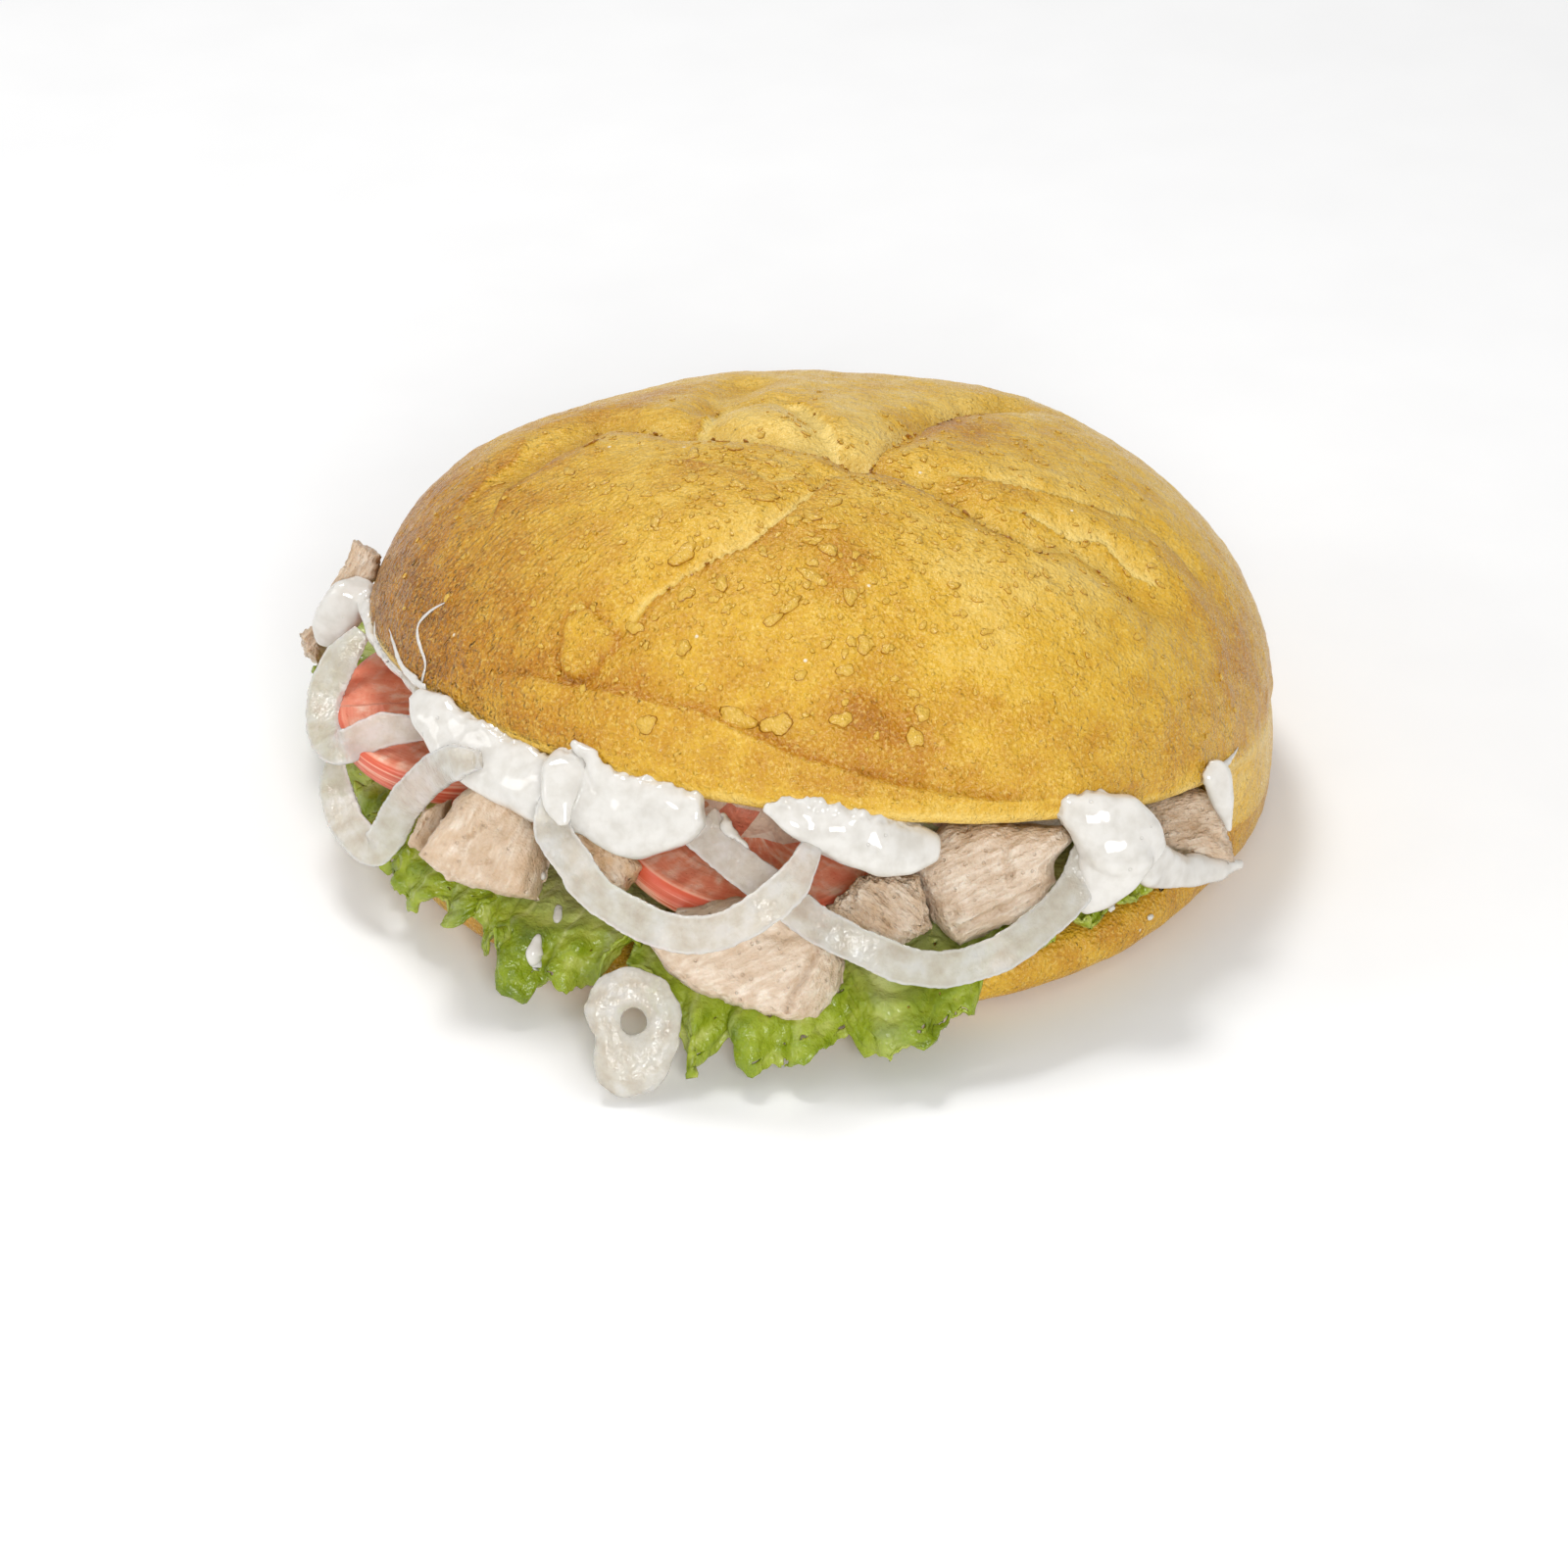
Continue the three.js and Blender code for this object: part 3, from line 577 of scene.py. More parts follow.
# Valleys between the swollen lobes: depth, width, points seen from above
VALLEYS = [
    (3.4, 7.5, [(-60, -12), (-46, 1), (-31, -10), (-1, -24), (14, -31), (26, -41), (38, -39), (52, -41)]),
    (2.8, 5.5, [(-1, -24), (8, -9), (17, 9), (30, 23)]),
    (2.2, 6, [(-31, -10), (-28, 2), (-20, 28)]),
    (1.6, 5, [(-26, 8), (-12, 8), (-3, -18)]),
    (1.5, 5, [(-2, -31), (-16, -53), (-38, -63), (-47, -66)]),
    (0.9, 5, [(12, -23), (34, -27), (56, -21), (67, -24)]),
    (0.9, 5, [(29, -33), (44, -34), (60, -38)]),
]


CREASE_FADE = 0.16
CREST_SHARE = 0.385
VALLEY_SHARE = 0.715
# Offset and width of the painted highlight line along each crease.
PAINTED_HIGHLIGHT_LINE = 0.7


class Crease:
    """A sharp crease: the crust on the right of its path stands over a valley on its left."""

    def __init__(self, depth, left, right, path, pale=0.3, brown=0.3):
        self.depth = depth
        self.left = left
        self.right = right
        self.pale = pale
        self.brown = brown
        flat = np.array([(*point, 0)[:3] for point in path], float)
        heights = dome_height(np.hypot(flat[:, 0], flat[:, 1]) / LID_RADIUS)
        flat[:, 2] = [point[2] if len(point) > 2 else height for point, height in zip(path, heights)]
        self.path = flat

    def reach(self, points, normals):
        """Signed distance to the path, + on its left, and how far from the path's ends, 0 to 1."""
        nearest = np.full(len(points), np.inf)
        side = np.zeros(len(points))
        along = np.zeros(len(points))
        count = len(self.path) - 1
        for i, (a, b) in enumerate(zip(self.path[:-1], self.path[1:])):
            way = b - a
            share = np.clip(((points - a) @ way) / (way @ way), 0, 1)
            off = points - a - share[:, None] * way
            distance = np.linalg.norm(off, axis=1)
            closer = distance < nearest
            turned = np.sum(np.cross(normals, way) * off, axis=1)
            nearest = np.where(closer, distance, nearest)
            side = np.where(closer, np.sign(turned), side)
            along = np.where(closer, (i + share) / count, along)
        ends = smooth_step(np.minimum(along, 1 - along) / CREASE_FADE)
        return nearest * side, ends

    def shape(self, points, normals):
        """The height and the browning that the crease adds to the crust, with a thin painted highlight along
        it.
        """
        distance, ends = self.reach(points, normals)
        left = np.maximum(distance, 0)
        right = np.maximum(-distance, 0)
        valley = np.where(distance > 0, np.minimum(1, left) * np.exp(-left / self.left), 0)
        crest = np.where(distance <= 0, np.exp(-right / self.right), 0)
        height = self.depth * (CREST_SHARE * crest - VALLEY_SHARE * valley)
        stretched = np.where(distance > 0, np.exp(-left / (0.8 * self.left)), 0)
        # A thin pale line just inside the valley is a painted highlight, as on a lit crease wall.
        line = np.exp(-(((distance - PAINTED_HIGHLIGHT_LINE) / PAINTED_HIGHLIGHT_LINE) ** 2))
        browning = 0.7 * self.brown * crest - 0.9 * self.pale * stretched - 0.7 * self.pale * line
        return height * ends, browning * ends


CREASES = [
    Crease(
        3.2, 6, 4,
        [(-14, -25), (-7, -27), (-1, -30), (8, -35), (14, -39), (21, -42), (25, -45), (29, -48), (34, -50)],
    ),
    Crease(1.6, 3, 4, [(-66, -30), (-63, -21), (-60, -20), (-55, -16), (-51, -14), (-45, -13)]),
    Crease(
        1.1, 2, 3, [(-37, -28), (-30, -30), (-26, -33), (-21, -36), (-16, -40), (-11, -38), (-5, -35)],
        0.15, 0.3,
    ),
    Crease(3.4, 9, 3.5, [(-2, -31), (3, -20), (7, -12), (11, -5), (18, 8), (24, 15), (30, 21)], 0.35, 0.45),
    Crease(1.8, 4, 4, [(-1, -29), (-2, -25), (-4, -13), (-7, -3), (-10, 7), (-14, 9)], 0.2, 0.35),
    Crease(1.8, 5, 4, [(-23, 14), (-27, 3), (-29, -5), (-30, -15)], 0.25, 0.35),
    Crease(1.4, 3, 4, [(-50, 1), (-47, 0), (-42, -5), (-38, -11), (-33, -16)], 0.3, 0.3),
    Crease(1.5, 5, 3, [(-31, -15), (-24, -18), (-17, -23), (-7, -26)], 0.2, 0.2),
    Crease(
        1.3, 3.5, 3.5, [(12, -23), (22, -25), (34, -25), (46, -24), (51, -21), (59, -22), (66, -25)],
        0.3, 0.2,
    ),
    Crease(1.2, 3, 3, [(24, -33), (32, -34), (39, -36), (45, -34), (51, -37), (58, -36)], 0.3, 0.2),
    Crease(1.3, 3, 3, [(29, -48), (34, -45), (39, -42), (46, -44), (52, -47)], 0.25, 0.2),
    Crease(0.9, 2, 2, [(40, 0), (43, -5), (49, -2)], 0.3, 0.1),
    Crease(
        2.0, 3.5, 2.5, [(-41, -66), (-37, -62), (-29, -59), (-20, -56), (-12, -48), (-6, -38), (-4, -34)],
        0.3, 0.35,
    ),
    Crease(0.9, 3, 3, [(-62, 4), (-60, -1), (-62, -7), (-66, -11), (-72, -20)], 0.1, 0.25),
    # The lip's crease has pale and brown below 0: painted shade in its fold and painted light on the band
    # below.
    Crease(
        1.5, 4, 5,
        [(-64, -54, 7), (-54, -63, 10), (-39, -73, 12), (-26, -78, 12), (-11, -83, 8), (10, -84, 4),
         (26, -81, 2), (40, -75, 2)],
        -0.1, -0.05,
    ),
]

# Patches of deeper brown: strength, width, place on the lid
BROWN_PATCHES = [
    (0.25, 9, (-5, -58, 36)), (0.3, 9, (4, -80, 15)), (0.2, 14, (72, -30, 20)), (0.2, 10, (-46, 10, 38)),
    (0.2, 10, (22, -4, 44)), (0.15, 9, (20, -30, 43)), (-0.15, 18, (-8, -8, 45)), (0.15, 8, (-24, -32, 42)),
    (-0.12, 20, (30, -58, 33)), (0.25, 7, (-36, 22, 42)), (0.25, 8, (14, 4, 46)),
]

WAVE_HEIGHT = 0.5
VALLEY_NARROWING = 1.6
PLAIN_BROWNING = 0.32
MOUTH_BROWNING = 0.3
BASE_BROWNING = 0.62
CRUMB_BROWNING = 0.06
SIDE_BROWNING = 0.5

# The one large blister
LARGE_BLISTER = np.array((-47, -63, 17.5))
LARGE_BLISTER_RADIUS = 5.2


def crust_shape(points, normals):
    """How far the crust stands off the plain dome, and how brown it is, in the lid's frame."""
    x, y = points[:, 0], points[:, 1]
    height = WAVE_HEIGHT * np.sin(x / 11 + 1) * np.cos(y / 13)
    for depth, width, path in VALLEYS:
        flat = np.array([(*point, 0) for point in path], float)
        distance = path_distance(np.stack([x, y, 0 * x], -1), flat)
        height -= depth * np.exp(-((distance / width) ** 2) * VALLEY_NARROWING)
    for rise, width, (at_x, at_y) in SWELLINGS:
        height += rise * np.exp(-((np.hypot(x - at_x, y - at_y) / width) ** 2))
    browning = PLAIN_BROWNING + 0 * x
    for crease in CREASES:
        rise, tint = crease.shape(points, normals)
        height += rise
        browning += tint
    for strength, width, middle in BROWN_PATCHES:
        browning += strength * np.exp(-(np.linalg.norm(points - np.array(middle), axis=1) / width) ** 2)
    angle = np.arctan2(points[:, 2] - LARGE_BLISTER[2], x - LARGE_BLISTER[0])
    wavy = 1 + 0.1 * np.sin(3 * angle + 1) + 0.07 * np.sin(5 * angle) - 0.12 * np.cos(2 * angle)
    off = np.linalg.norm(points - LARGE_BLISTER, axis=1) / (LARGE_BLISTER_RADIUS * wavy)
    height += 0.6 * smooth_step((1.1 - off) / 0.2) - 0.35 * np.exp(-(((off - 1.2) / 0.12) ** 2))
    height += 0.25 * noise_at(points, 1.6, 6) * smooth_step((1.2 - off) / 0.3)
    # A darker ring of painted shade in the groove round the blister, and a slightly paler top.
    browning += 0.16 * np.exp(-(((off - 1.15) / 0.1) ** 2)) - 0.08 * smooth_step((1.05 - off) / 0.3)
    return height, browning


def path_distance(points, path):
    nearest = np.full(len(points), np.inf)
    for a, b in zip(path[:-1], path[1:]):
        way = b - a
        share = np.clip(((points - a) @ way) / (way @ way), 0, 1)
        nearest = np.minimum(nearest, np.linalg.norm(points - a - share[:, None] * way, axis=1))
    return nearest


def dome_points(azimuth, share):
    """The crust at each turn round the lid and share of the way from its crown to its rim."""
    rim = polar(azimuth, LID_RADIUS * (1 + out_of_round(azimuth)), 0)
    x = mix(CROWN[0], rim[:, 0], share)
    y = mix(CROWN[1], rim[:, 1], share)
    turn = np.degrees(np.arctan2(y, x))
    out = np.minimum(1, np.hypot(x, y) / (LID_RADIUS * (1 + out_of_round(turn))))
    plain = np.stack([x, y, dome_height(out)], -1)
    normals = dome_normals(x, y, out)
    height, browning = crust_shape(plain, normals)
    height *= smooth_step(plain[:, 2] / 3)
    return from_lid(plain + normals * height[:, None]), browning


def from_hinge(azimuth):
    return (azimuth - HINGE_AZIMUTH + 540) % 360 - 180


hinge = polar(np.array([HINGE_AZIMUTH]), 1, 0)[0]
hinge_line = np.array((-hinge[1], hinge[0], 0))
mouth_corner = math.degrees(math.acos(HINGE_INSET / BUN_RADIUS))


def mouth_depth(azimuth, radius):
    """The way in from the mouth's lip to the straight line where the cut ends."""
    turn = from_hinge(azimuth)
    corner = np.minimum(1, (180 - np.abs(turn)) / (180 - mouth_corner))
    inset = HINGE_INSET * radius / BUN_RADIUS
    side = np.sign(turn) * corner * np.sqrt(radius ** 2 - inset ** 2)
    end = hinge * inset[:, None] + hinge_line * side[:, None]
    return np.where(corner[:, None] < 1, end - polar(azimuth, radius, 0), 0)


def mouth_share(azimuth):
    return smooth_step((np.abs(from_hinge(azimuth)) - mouth_corner) / MOUTH_CORNER_ANGLE + 0.5)


def base_rim(azimuth):
    share = smooth_step((np.abs(from_hinge(azimuth)) - 40) / 60)
    height = mix(HINGE_BULGE_HEIGHT, BASE_BULGE_HEIGHT, share)
    return polar(azimuth, BUN_RADIUS * (1 + out_of_round_base(azimuth)), height)


def lid_face(azimuth, depth):
    radius = (LID_RADIUS - LIP_CURL) * (1 + out_of_round(azimuth))
    points = polar(azimuth, radius, 0) + mouth_depth(azimuth, radius) * depth[:, None]
    points[:, 2] = -LIP_DEPTH + 1.2 * np.sin(depth * math.pi)
    return from_lid(points)


def base_face(azimuth, depth):
    radius = (BUN_RADIUS - BASE_LIP_INSET) * (1 + out_of_round_base(azimuth))
    points = polar(azimuth, radius, BASE_LIP_HEIGHT + 0.4 * np.sin(azimuth % 360 / 13))
    return points + mouth_depth(azimuth, radius) * depth[:, None]


def bent(start, through, end, share):
    """A smooth bend from start to end that passes through a point halfway."""
    pull = 2 * through - (start + end) / 2
    t = share[:, None]
    return start * (1 - t) ** 2 + 2 * pull * t * (1 - t) + end * t * t


# Steps through the mouth: where the lid's lip ends, the cut turns back, the base's lip begins, and the rim
LID_LIP_STEP = 2
TURN_STEP = 5.5
BASE_LIP_STEP = 9
MOUTH_STEPS = 11


def mouth_points(azimuth, step):
    """The lips and crumb faces at a step from 0, the lid's rim, to the last, the base's rim."""
    edge, _ = dome_points(azimuth, np.ones(len(azimuth)))
    rim = base_rim(azimuth)
    zero = np.zeros(len(azimuth))
    upper, lower = lid_face(azimuth, zero), base_face(azimuth, zero)
    upper_mid = mix(upper, edge, 0.5) + polar(azimuth, 1, -0.4)
    lower_mid = mix(lower, rim, 0.5) + polar(azimuth, 0.9, 0.4)
    mouth = bent(edge, upper_mid, upper, np.clip(step / LID_LIP_STEP, 0, 1))
    inner = (step > LID_LIP_STEP) & (step < BASE_LIP_STEP)
    upper_half = step < TURN_STEP
    depth = np.clip(np.where(upper_half, (step - LID_LIP_STEP) / 3, (BASE_LIP_STEP - step) / 3), 0, 1)
    faces = np.where(upper_half[:, None], lid_face(azimuth, depth), base_face(azimuth, depth))
    mouth = np.where(inner[:, None], faces, mouth)
    outer = (step >= BASE_LIP_STEP)[:, None]
    turn_down = np.clip((step - BASE_LIP_STEP) / (MOUTH_STEPS - BASE_LIP_STEP), 0, 1)
    mouth = np.where(outer, bent(lower, lower_mid, rim, turn_down), mouth)
    share = step / MOUTH_STEPS
    wall = mix(edge, rim, share[:, None]) + polar(azimuth, 0.6 * np.sin(share * math.pi), 0)
    return mix(wall, mouth, mouth_share(azimuth)[:, None])


def underside_points(azimuth, share):
    """From the base's rim, round under it, to the middle of its flat: the turn takes the first half."""
    rim = base_rim(azimuth)
    turn = np.minimum(share * 2, 1) * math.pi / 2
    rim_radius = np.hypot(rim[:, 0], rim[:, 1])
    power = 2 / 2.4
    radius = FLAT_RADIUS + (rim_radius - FLAT_RADIUS) * np.maximum(np.cos(turn), 0) ** power
    height = rim[:, 2] * (1 - np.sin(turn) ** power)
    flat = share > 0.5
    radius = np.where(flat, FLAT_RADIUS * (2 - 2 * share), radius)
    return polar(azimuth, radius, np.where(flat, 0, height))


BREAD_COLUMNS = 500
DOME_ROWS = 148
MOUTH_ROWS = 30
UNDERSIDE_ROWS = 18
BREAD_ROWS = DOME_ROWS + MOUTH_ROWS + UNDERSIDE_ROWS


def bread_mesh():
    mesh = ball_mesh("bread_bun", BREAD_COLUMNS, BREAD_ROWS)
    azimuth, share = ball_rows(mesh, BREAD_ROWS)
    row = share * BREAD_ROWS
    points = np.zeros((len(row), 3))
    browning = np.zeros(len(row))
    on_dome = row <= DOME_ROWS
    in_mouth = (row > DOME_ROWS) & (row <= DOME_ROWS + MOUTH_ROWS)
    below = row > DOME_ROWS + MOUTH_ROWS
    dome_share = np.sin(row[on_dome] / DOME_ROWS * math.pi / 2)
    points[on_dome], browning[on_dome] = dome_points(azimuth[on_dome], dome_share)
    step = (row[in_mouth] - DOME_ROWS) / MOUTH_ROWS * MOUTH_STEPS
    points[in_mouth] = mouth_points(azimuth[in_mouth], step)
    browning[in_mouth] = MOUTH_BROWNING
    points[below] = underside_points(azimuth[below], (row[below] - DOME_ROWS - MOUTH_ROWS) / UNDERSIDE_ROWS)
    browning[below] = BASE_BROWNING
    set_points(mesh, points)
    rough_crust(mesh, points, on_dome)
    finish_bread(mesh, azimuth, row, points, browning, on_dome)
    return mesh


CRUST_UNEVENNESS = ((0.32, 6, 1), (0.16, 2.2, 4))
CRUST_SINK = 0.3
FLATTENED_ABOVE = 82
FLATTENING = 0.4


def rough_crust(mesh, points, on_dome):
    """Small unevenness of the crust, along its normals; the flat underside stays flat."""
    normals = normals_of(mesh)
    rough = layered_noise(points, CRUST_UNEVENNESS)
    calm = np.where(on_dome, 1, 0.5) * smooth_step(points[:, 2] / 4)
    points += normals * ((rough - CRUST_SINK) * calm)[:, None]
    above = np.maximum(0, points[:, 2] - FLATTENED_ABOVE)
    points[:, 2] -= FLATTENING * above
    set_points(mesh, points)


def finish_bread(mesh, azimuth, row, points, browning, on_dome):
    """Where the crust is brown, where it is streaked, and which way the streaks run."""
    slope = smooth_step((row / DOME_ROWS - 0.35) / 0.6) * on_dome
    left = near(azimuth, 188, 42)
    browning += np.where(on_dome, 0.36 * left * slope + 0.16 * slope, 0)
    lip = (row > DOME_ROWS - 6) & (row < DOME_ROWS + 6)
    browning += np.where(lip, -0.08, 0)
    crumb = mouth_share(azimuth) * ((row > DOME_ROWS + 8) & (row < DOME_ROWS + MOUTH_ROWS - 8))
    side = (row >= DOME_ROWS + MOUTH_ROWS - 6)
    browning = np.where(side, SIDE_BROWNING + 0.12 * noise_at(points, 9, 3), browning)
    browning = mix(browning, CRUMB_BROWNING, crumb * 0.9)
    set_number(mesh, "browning", browning)
    set_number(mesh, "streaks", slope * np.clip(left * 1.2, 0, 1))
    turn = np.radians(azimuth % 360)
    set_vector(mesh, "flow", np.stack([turn * BUN_RADIUS, row * 1.05, 0 * turn], -1))


# Flattened blisters seen on the crust: place on the lid, half length, half width, turn in degrees
BLISTERS = [
    ((-23, -26, 43), 1.9, 1.4, -20), ((-30, -27, 42), 2.0, 1.2, -20), ((-30, -37, 40), 1.5, 1.2, 0),
    ((-16, -33, 43), 1.5, 1.2, 0), ((-12, -35, 43), 1.6, 1.4, 0), ((-22, -41, 41), 2.0, 0.7, -5),
    ((-17, -45, 40), 2.1, 1.1, -35), ((-24, -63, 30), 1.7, 1.2, -50), ((-12, -51, 38), 1.4, 1.3, 0),
    ((-9, -51, 39), 1.6, 1.1, 0), ((-48, -13, 39), 2.9, 1.2, 5), ((-52, -24, 36), 1.9, 1.0, 20),
    ((-36, -48, 35), 1.4, 1.0, -40), ((-5, -46, 40), 1.6, 1.2, 20), ((-6, -53, 38), 2.0, 0.9, -8),
    ((-6, -58, 36), 1.6, 1.5, -40), ((-9, -63, 33), 2.6, 1.1, -35), ((-2, -66, 31), 1.5, 1.7, 0),
    ((13, -34, 43), 1.6, 1.4, 20), ((16, -61, 33), 1.1, 0.9, 0), ((-15, -70, 27), 2.0, 0.9, 20),
    ((-12, -68, 29), 2.3, 0.9, 40), ((1, -73, 25), 1.5, 1.7, -10), ((5, -73, 25), 1.2, 1.0, 20),
    ((-2, -76, 21), 1.5, 1.2, -10), ((-2, -81, 14), 1.9, 1.4, -10), ((11, -81, 12), 1.4, 2.0, 0),
    ((12, -79, 16), 1.5, 1.4, 30), ((-35, -76, 8), 1.5, 2.2, -25), ((-30, -71, 21), 1.4, 1.4, -30),
    ((-30, -63, 28), 1.8, 1.5, -30), ((-20, -80, 12), 3.2, 1.9, -10), ((-13, -81, 12), 3.0, 1.8, 30),
    ((-31, -56, 33), 3.0, 1.5, 35), ((-39, -65, 22), 2.0, 1.2, 0), ((-48, -58, 22), 1.4, 1.1, 0),
]
BLISTER_HEIGHT = 0.42
BLISTER_SEGMENTS = 18
SMALL_BLISTERS = 900
SMALL_BLISTER_HEIGHT = 0.28
SMALL_BLISTER_SEGMENTS = 8
# Middle and spread of the field of small blisters, across and from front to back
SMALL_BLISTER_FIELD = ((-8, 34), (-46, 24))


def blister_bump(place, normal, length, width, turn, height, segments):
    """One low dome with a crisp, uneven edge, let into the crust."""
    bm = bmesh.new()
    bmesh.ops.create_uvsphere(bm, u_segments=segments, v_segments=6, radius=1)
    rim = bm.verts.layers.float.new("edge")
    uneven = draw.uniform(0, 6)
    for vert in bm.verts:
        angle = math.atan2(vert.co.y, vert.co.x)
        # The edge value, 0 on top and 1 at the rim and below, carries painted shade.
        vert[rim] = 1 - max(0, vert.co.z)
        edge = 1 + 0.16 * math.sin(2 * angle + uneven) + 0.14 * math.sin(3 * angle - 2 * uneven)
        edge += 0.09 * math.sin(5 * angle + 3 * uneven)
        lift = math.copysign(abs(vert.co.z) ** 0.75, vert.co.z)
        vert.co = Vector((vert.co.x * edge * length, vert.co.y * edge * width, lift * height))
    stand = normal.to_track_quat("Z", "Y").to_matrix() @ Matrix.Rotation(math.radians(turn), 3, "Z")
    bmesh.ops.transform(bm, matrix=Matrix.Translation(place) @ stand.to_4x4(), verts=bm.verts)
    return mesh_of(bm, "blister")


def blister_mesh(crust):
    bm = bmesh.new()
    bm.verts.layers.float.new("edge")
    for middle, length, width, turn in BLISTERS:
        place, normal, _, _ = crust.find_nearest(Vector(from_lid(middle)))
        bm.from_mesh(blister_bump(place, normal, length, width, turn, BLISTER_HEIGHT, BLISTER_SEGMENTS))
    for _ in range(SMALL_BLISTERS):
        x, y = [draw.gauss(middle, spread) for middle, spread in SMALL_BLISTER_FIELD]
        out = math.hypot(x, y) / LID_RADIUS
        if out > 0.985:
            continue
        middle = from_lid((x, y, float(dome_height(out))))
        place, normal, _, _ = crust.find_nearest(Vector(middle))
        size = draw.uniform(0.25, 0.5) * draw.uniform(0.7, 1.8)
        length = size * draw.uniform(1, 1.9)
        turn = draw.uniform(0, 180)
        height, segments = SMALL_BLISTER_HEIGHT, SMALL_BLISTER_SEGMENTS
        bm.from_mesh(blister_bump(place, normal, length, size, turn, height, segments))
    return mesh_of(bm, "crust_blisters")


# The pieces that spill out of the mouth lean back by this angle, and are drawn in that plane:
# x to the right, y up the slope, z out of it
SPILL_LEAN = math.radians(32)
SLOPE_UP = np.array((0, math.sin(SPILL_LEAN), math.cos(SPILL_LEAN)))
SLOPE_OUT = np.array((0, -math.cos(SPILL_LEAN), math.sin(SPILL_LEAN)))


def from_slope(at, x, y, z):
    points = np.array(at, float) + y[:, None] * SLOPE_UP + z[:, None] * SLOPE_OUT
    points[:, 0] += x
    return points


def outline_reach(outline, angle):
    """How far an outline reaches from its middle at each angle, in radians."""
    dx, dy = np.cos(angle), np.sin(angle)
    reach = np.zeros(len(angle))
    for (ax, ay), (bx, by) in zip(outline, outline[1:] + outline[:1]):
        ex, ey = bx - ax, by - ay
        cross = dx * ey - dy * ex
        cross = np.where(np.abs(cross) < 1e-9, 1e-9, cross)
        along = (ax * ey - ay * ex) / cross
        share = (ax * dy - ay * dx) / cross
        hit = (along > 0) & (share >= 0) & (share <= 1)
        reach = np.where(hit, np.maximum(reach, along), reach)
    return reach


class Chunk:
    """A torn piece of chicken: outline of its face, half depth, direction of its fibres, facets and cracks.

    A facet (turn, offset, slope) lowers the face beyond a line across it, offset from its middle.
    A crack is (depth, points across the face).
    """

    def __init__(self, at, depth, outline, fibres=60, facets=(), cracks=(), detail=5, tears=0.8, roast=0.0):
        self.at = at
        self.depth = depth
        self.outline = outline
        self.fibres = math.radians(fibres)
        self.facets = facets
        self.cracks = cracks
        self.detail = detail
        self.tears = tears
        self.roast = roast


CHICKEN = [
    Chunk(
        (-61, -62, 28), 9,
        [(-4, 9), (0, 11), (8, 6), (11, 1), (11, -4), (9, -11), (4, -10), (-7, -7), (-12, -2), (-9, 2)],
        fibres=60, facets=((-16, 8.4, 1.1), (-100, 8.5, 0.5)),
        cracks=((-0.3, [(7.3, 5), (3.8, -1.8), (0.3, -8)]),), detail=6, tears=0.12, roast=0.35,
    ),
    Chunk((-72, -49, 23), 6, [(4, 5), (-1, 3), (-4, -3), (-1, -5), (3, -2)], roast=0.6),
    Chunk(
        (-40, -68, 29), 7, [(-5, 7), (0, 6), (7, -3), (4, -7), (-3, -5), (-7, 2)],
        fibres=120, tears=1.0, roast=0.8,
    ),
    Chunk(
        (-15, -87, 17), 8,
        [(-17, 4), (-12, 10), (-2, 12), (7, 11), (12, 7), (17, 0), (16, -6), (14, -10), (11, -11), (0, -8),
         (-10, -4), (-14, -1)],
        fibres=20, facets=((-25, 10.5, 0.5), (105, 7, 0.3)),
        cracks=(
            (1.3, [(13, 4), (11.3, 0.8), (9.7, -2), (7.8, -4.5), (6.8, -7.6)]),
            (0.5, [(1, 7), (5, 5), (9, 5)]),
        ),
        detail=6, tears=0.35,
    ),
    Chunk(
        (8, -82, 24), 7, [(-9, 1), (-3, 6), (2, 7), (7, 6), (9, -3), (3, -6), (-1, -5)],
        fibres=-42, detail=6, tears=1.9, roast=0.35,
    ),
    Chunk(
        (28, -74, 24), 10,
        [(-12, 8), (-7, 11), (-1, 11), (13, 10), (15, 8), (11, 4), (11, 0), (8, -5), (-6, -11), (-11, -6),
         (-14, 3)],
        fibres=25, facets=((205, 10.2, 1.0), (-63, 4, 0.45)),
        cracks=(
            (1.0, [(-6.6, -7.8), (0.3, -4.8), (6.7, -1.4), (11.3, 0.9)]),
            (0.6, [(2.7, 9), (2.4, 5), (3, 0.5)]),
        ),
        detail=6, tears=0.6,
    ),
    Chunk(
        (65, -49, 18), 7, [(-8, 5.5), (1, 8), (6, 6), (8, -6), (-1, -4), (-7, -4)],
        fibres=10, cracks=((0.8, [(-4, 0.5), (1, 0.8), (6, -2)]),), tears=1.2, roast=0.2,
    ),
    Chunk(
        (-88, 12, 42), 5, [(0, 6), (5, 3), (4, -2), (-1, -3), (-5, -5), (-5, -3), (-2, 1)],
        tears=1.1, roast=0.3,
    ),
    Chunk((-97, 19, 22), 11, [(-3, 2), (1, 5), (3, 4), (2, 0), (1, -5), (-2, -2)], tears=1.1, roast=0.3),
]
CHUNK_BOXINESS = 5
CRACK_WIDTH = 0.55
CRUMB_DEPTH = 0.2
PIT_DEPTH = 0.5
MEAT_SINK = 0.25
RAGGED_EDGE = 0.5


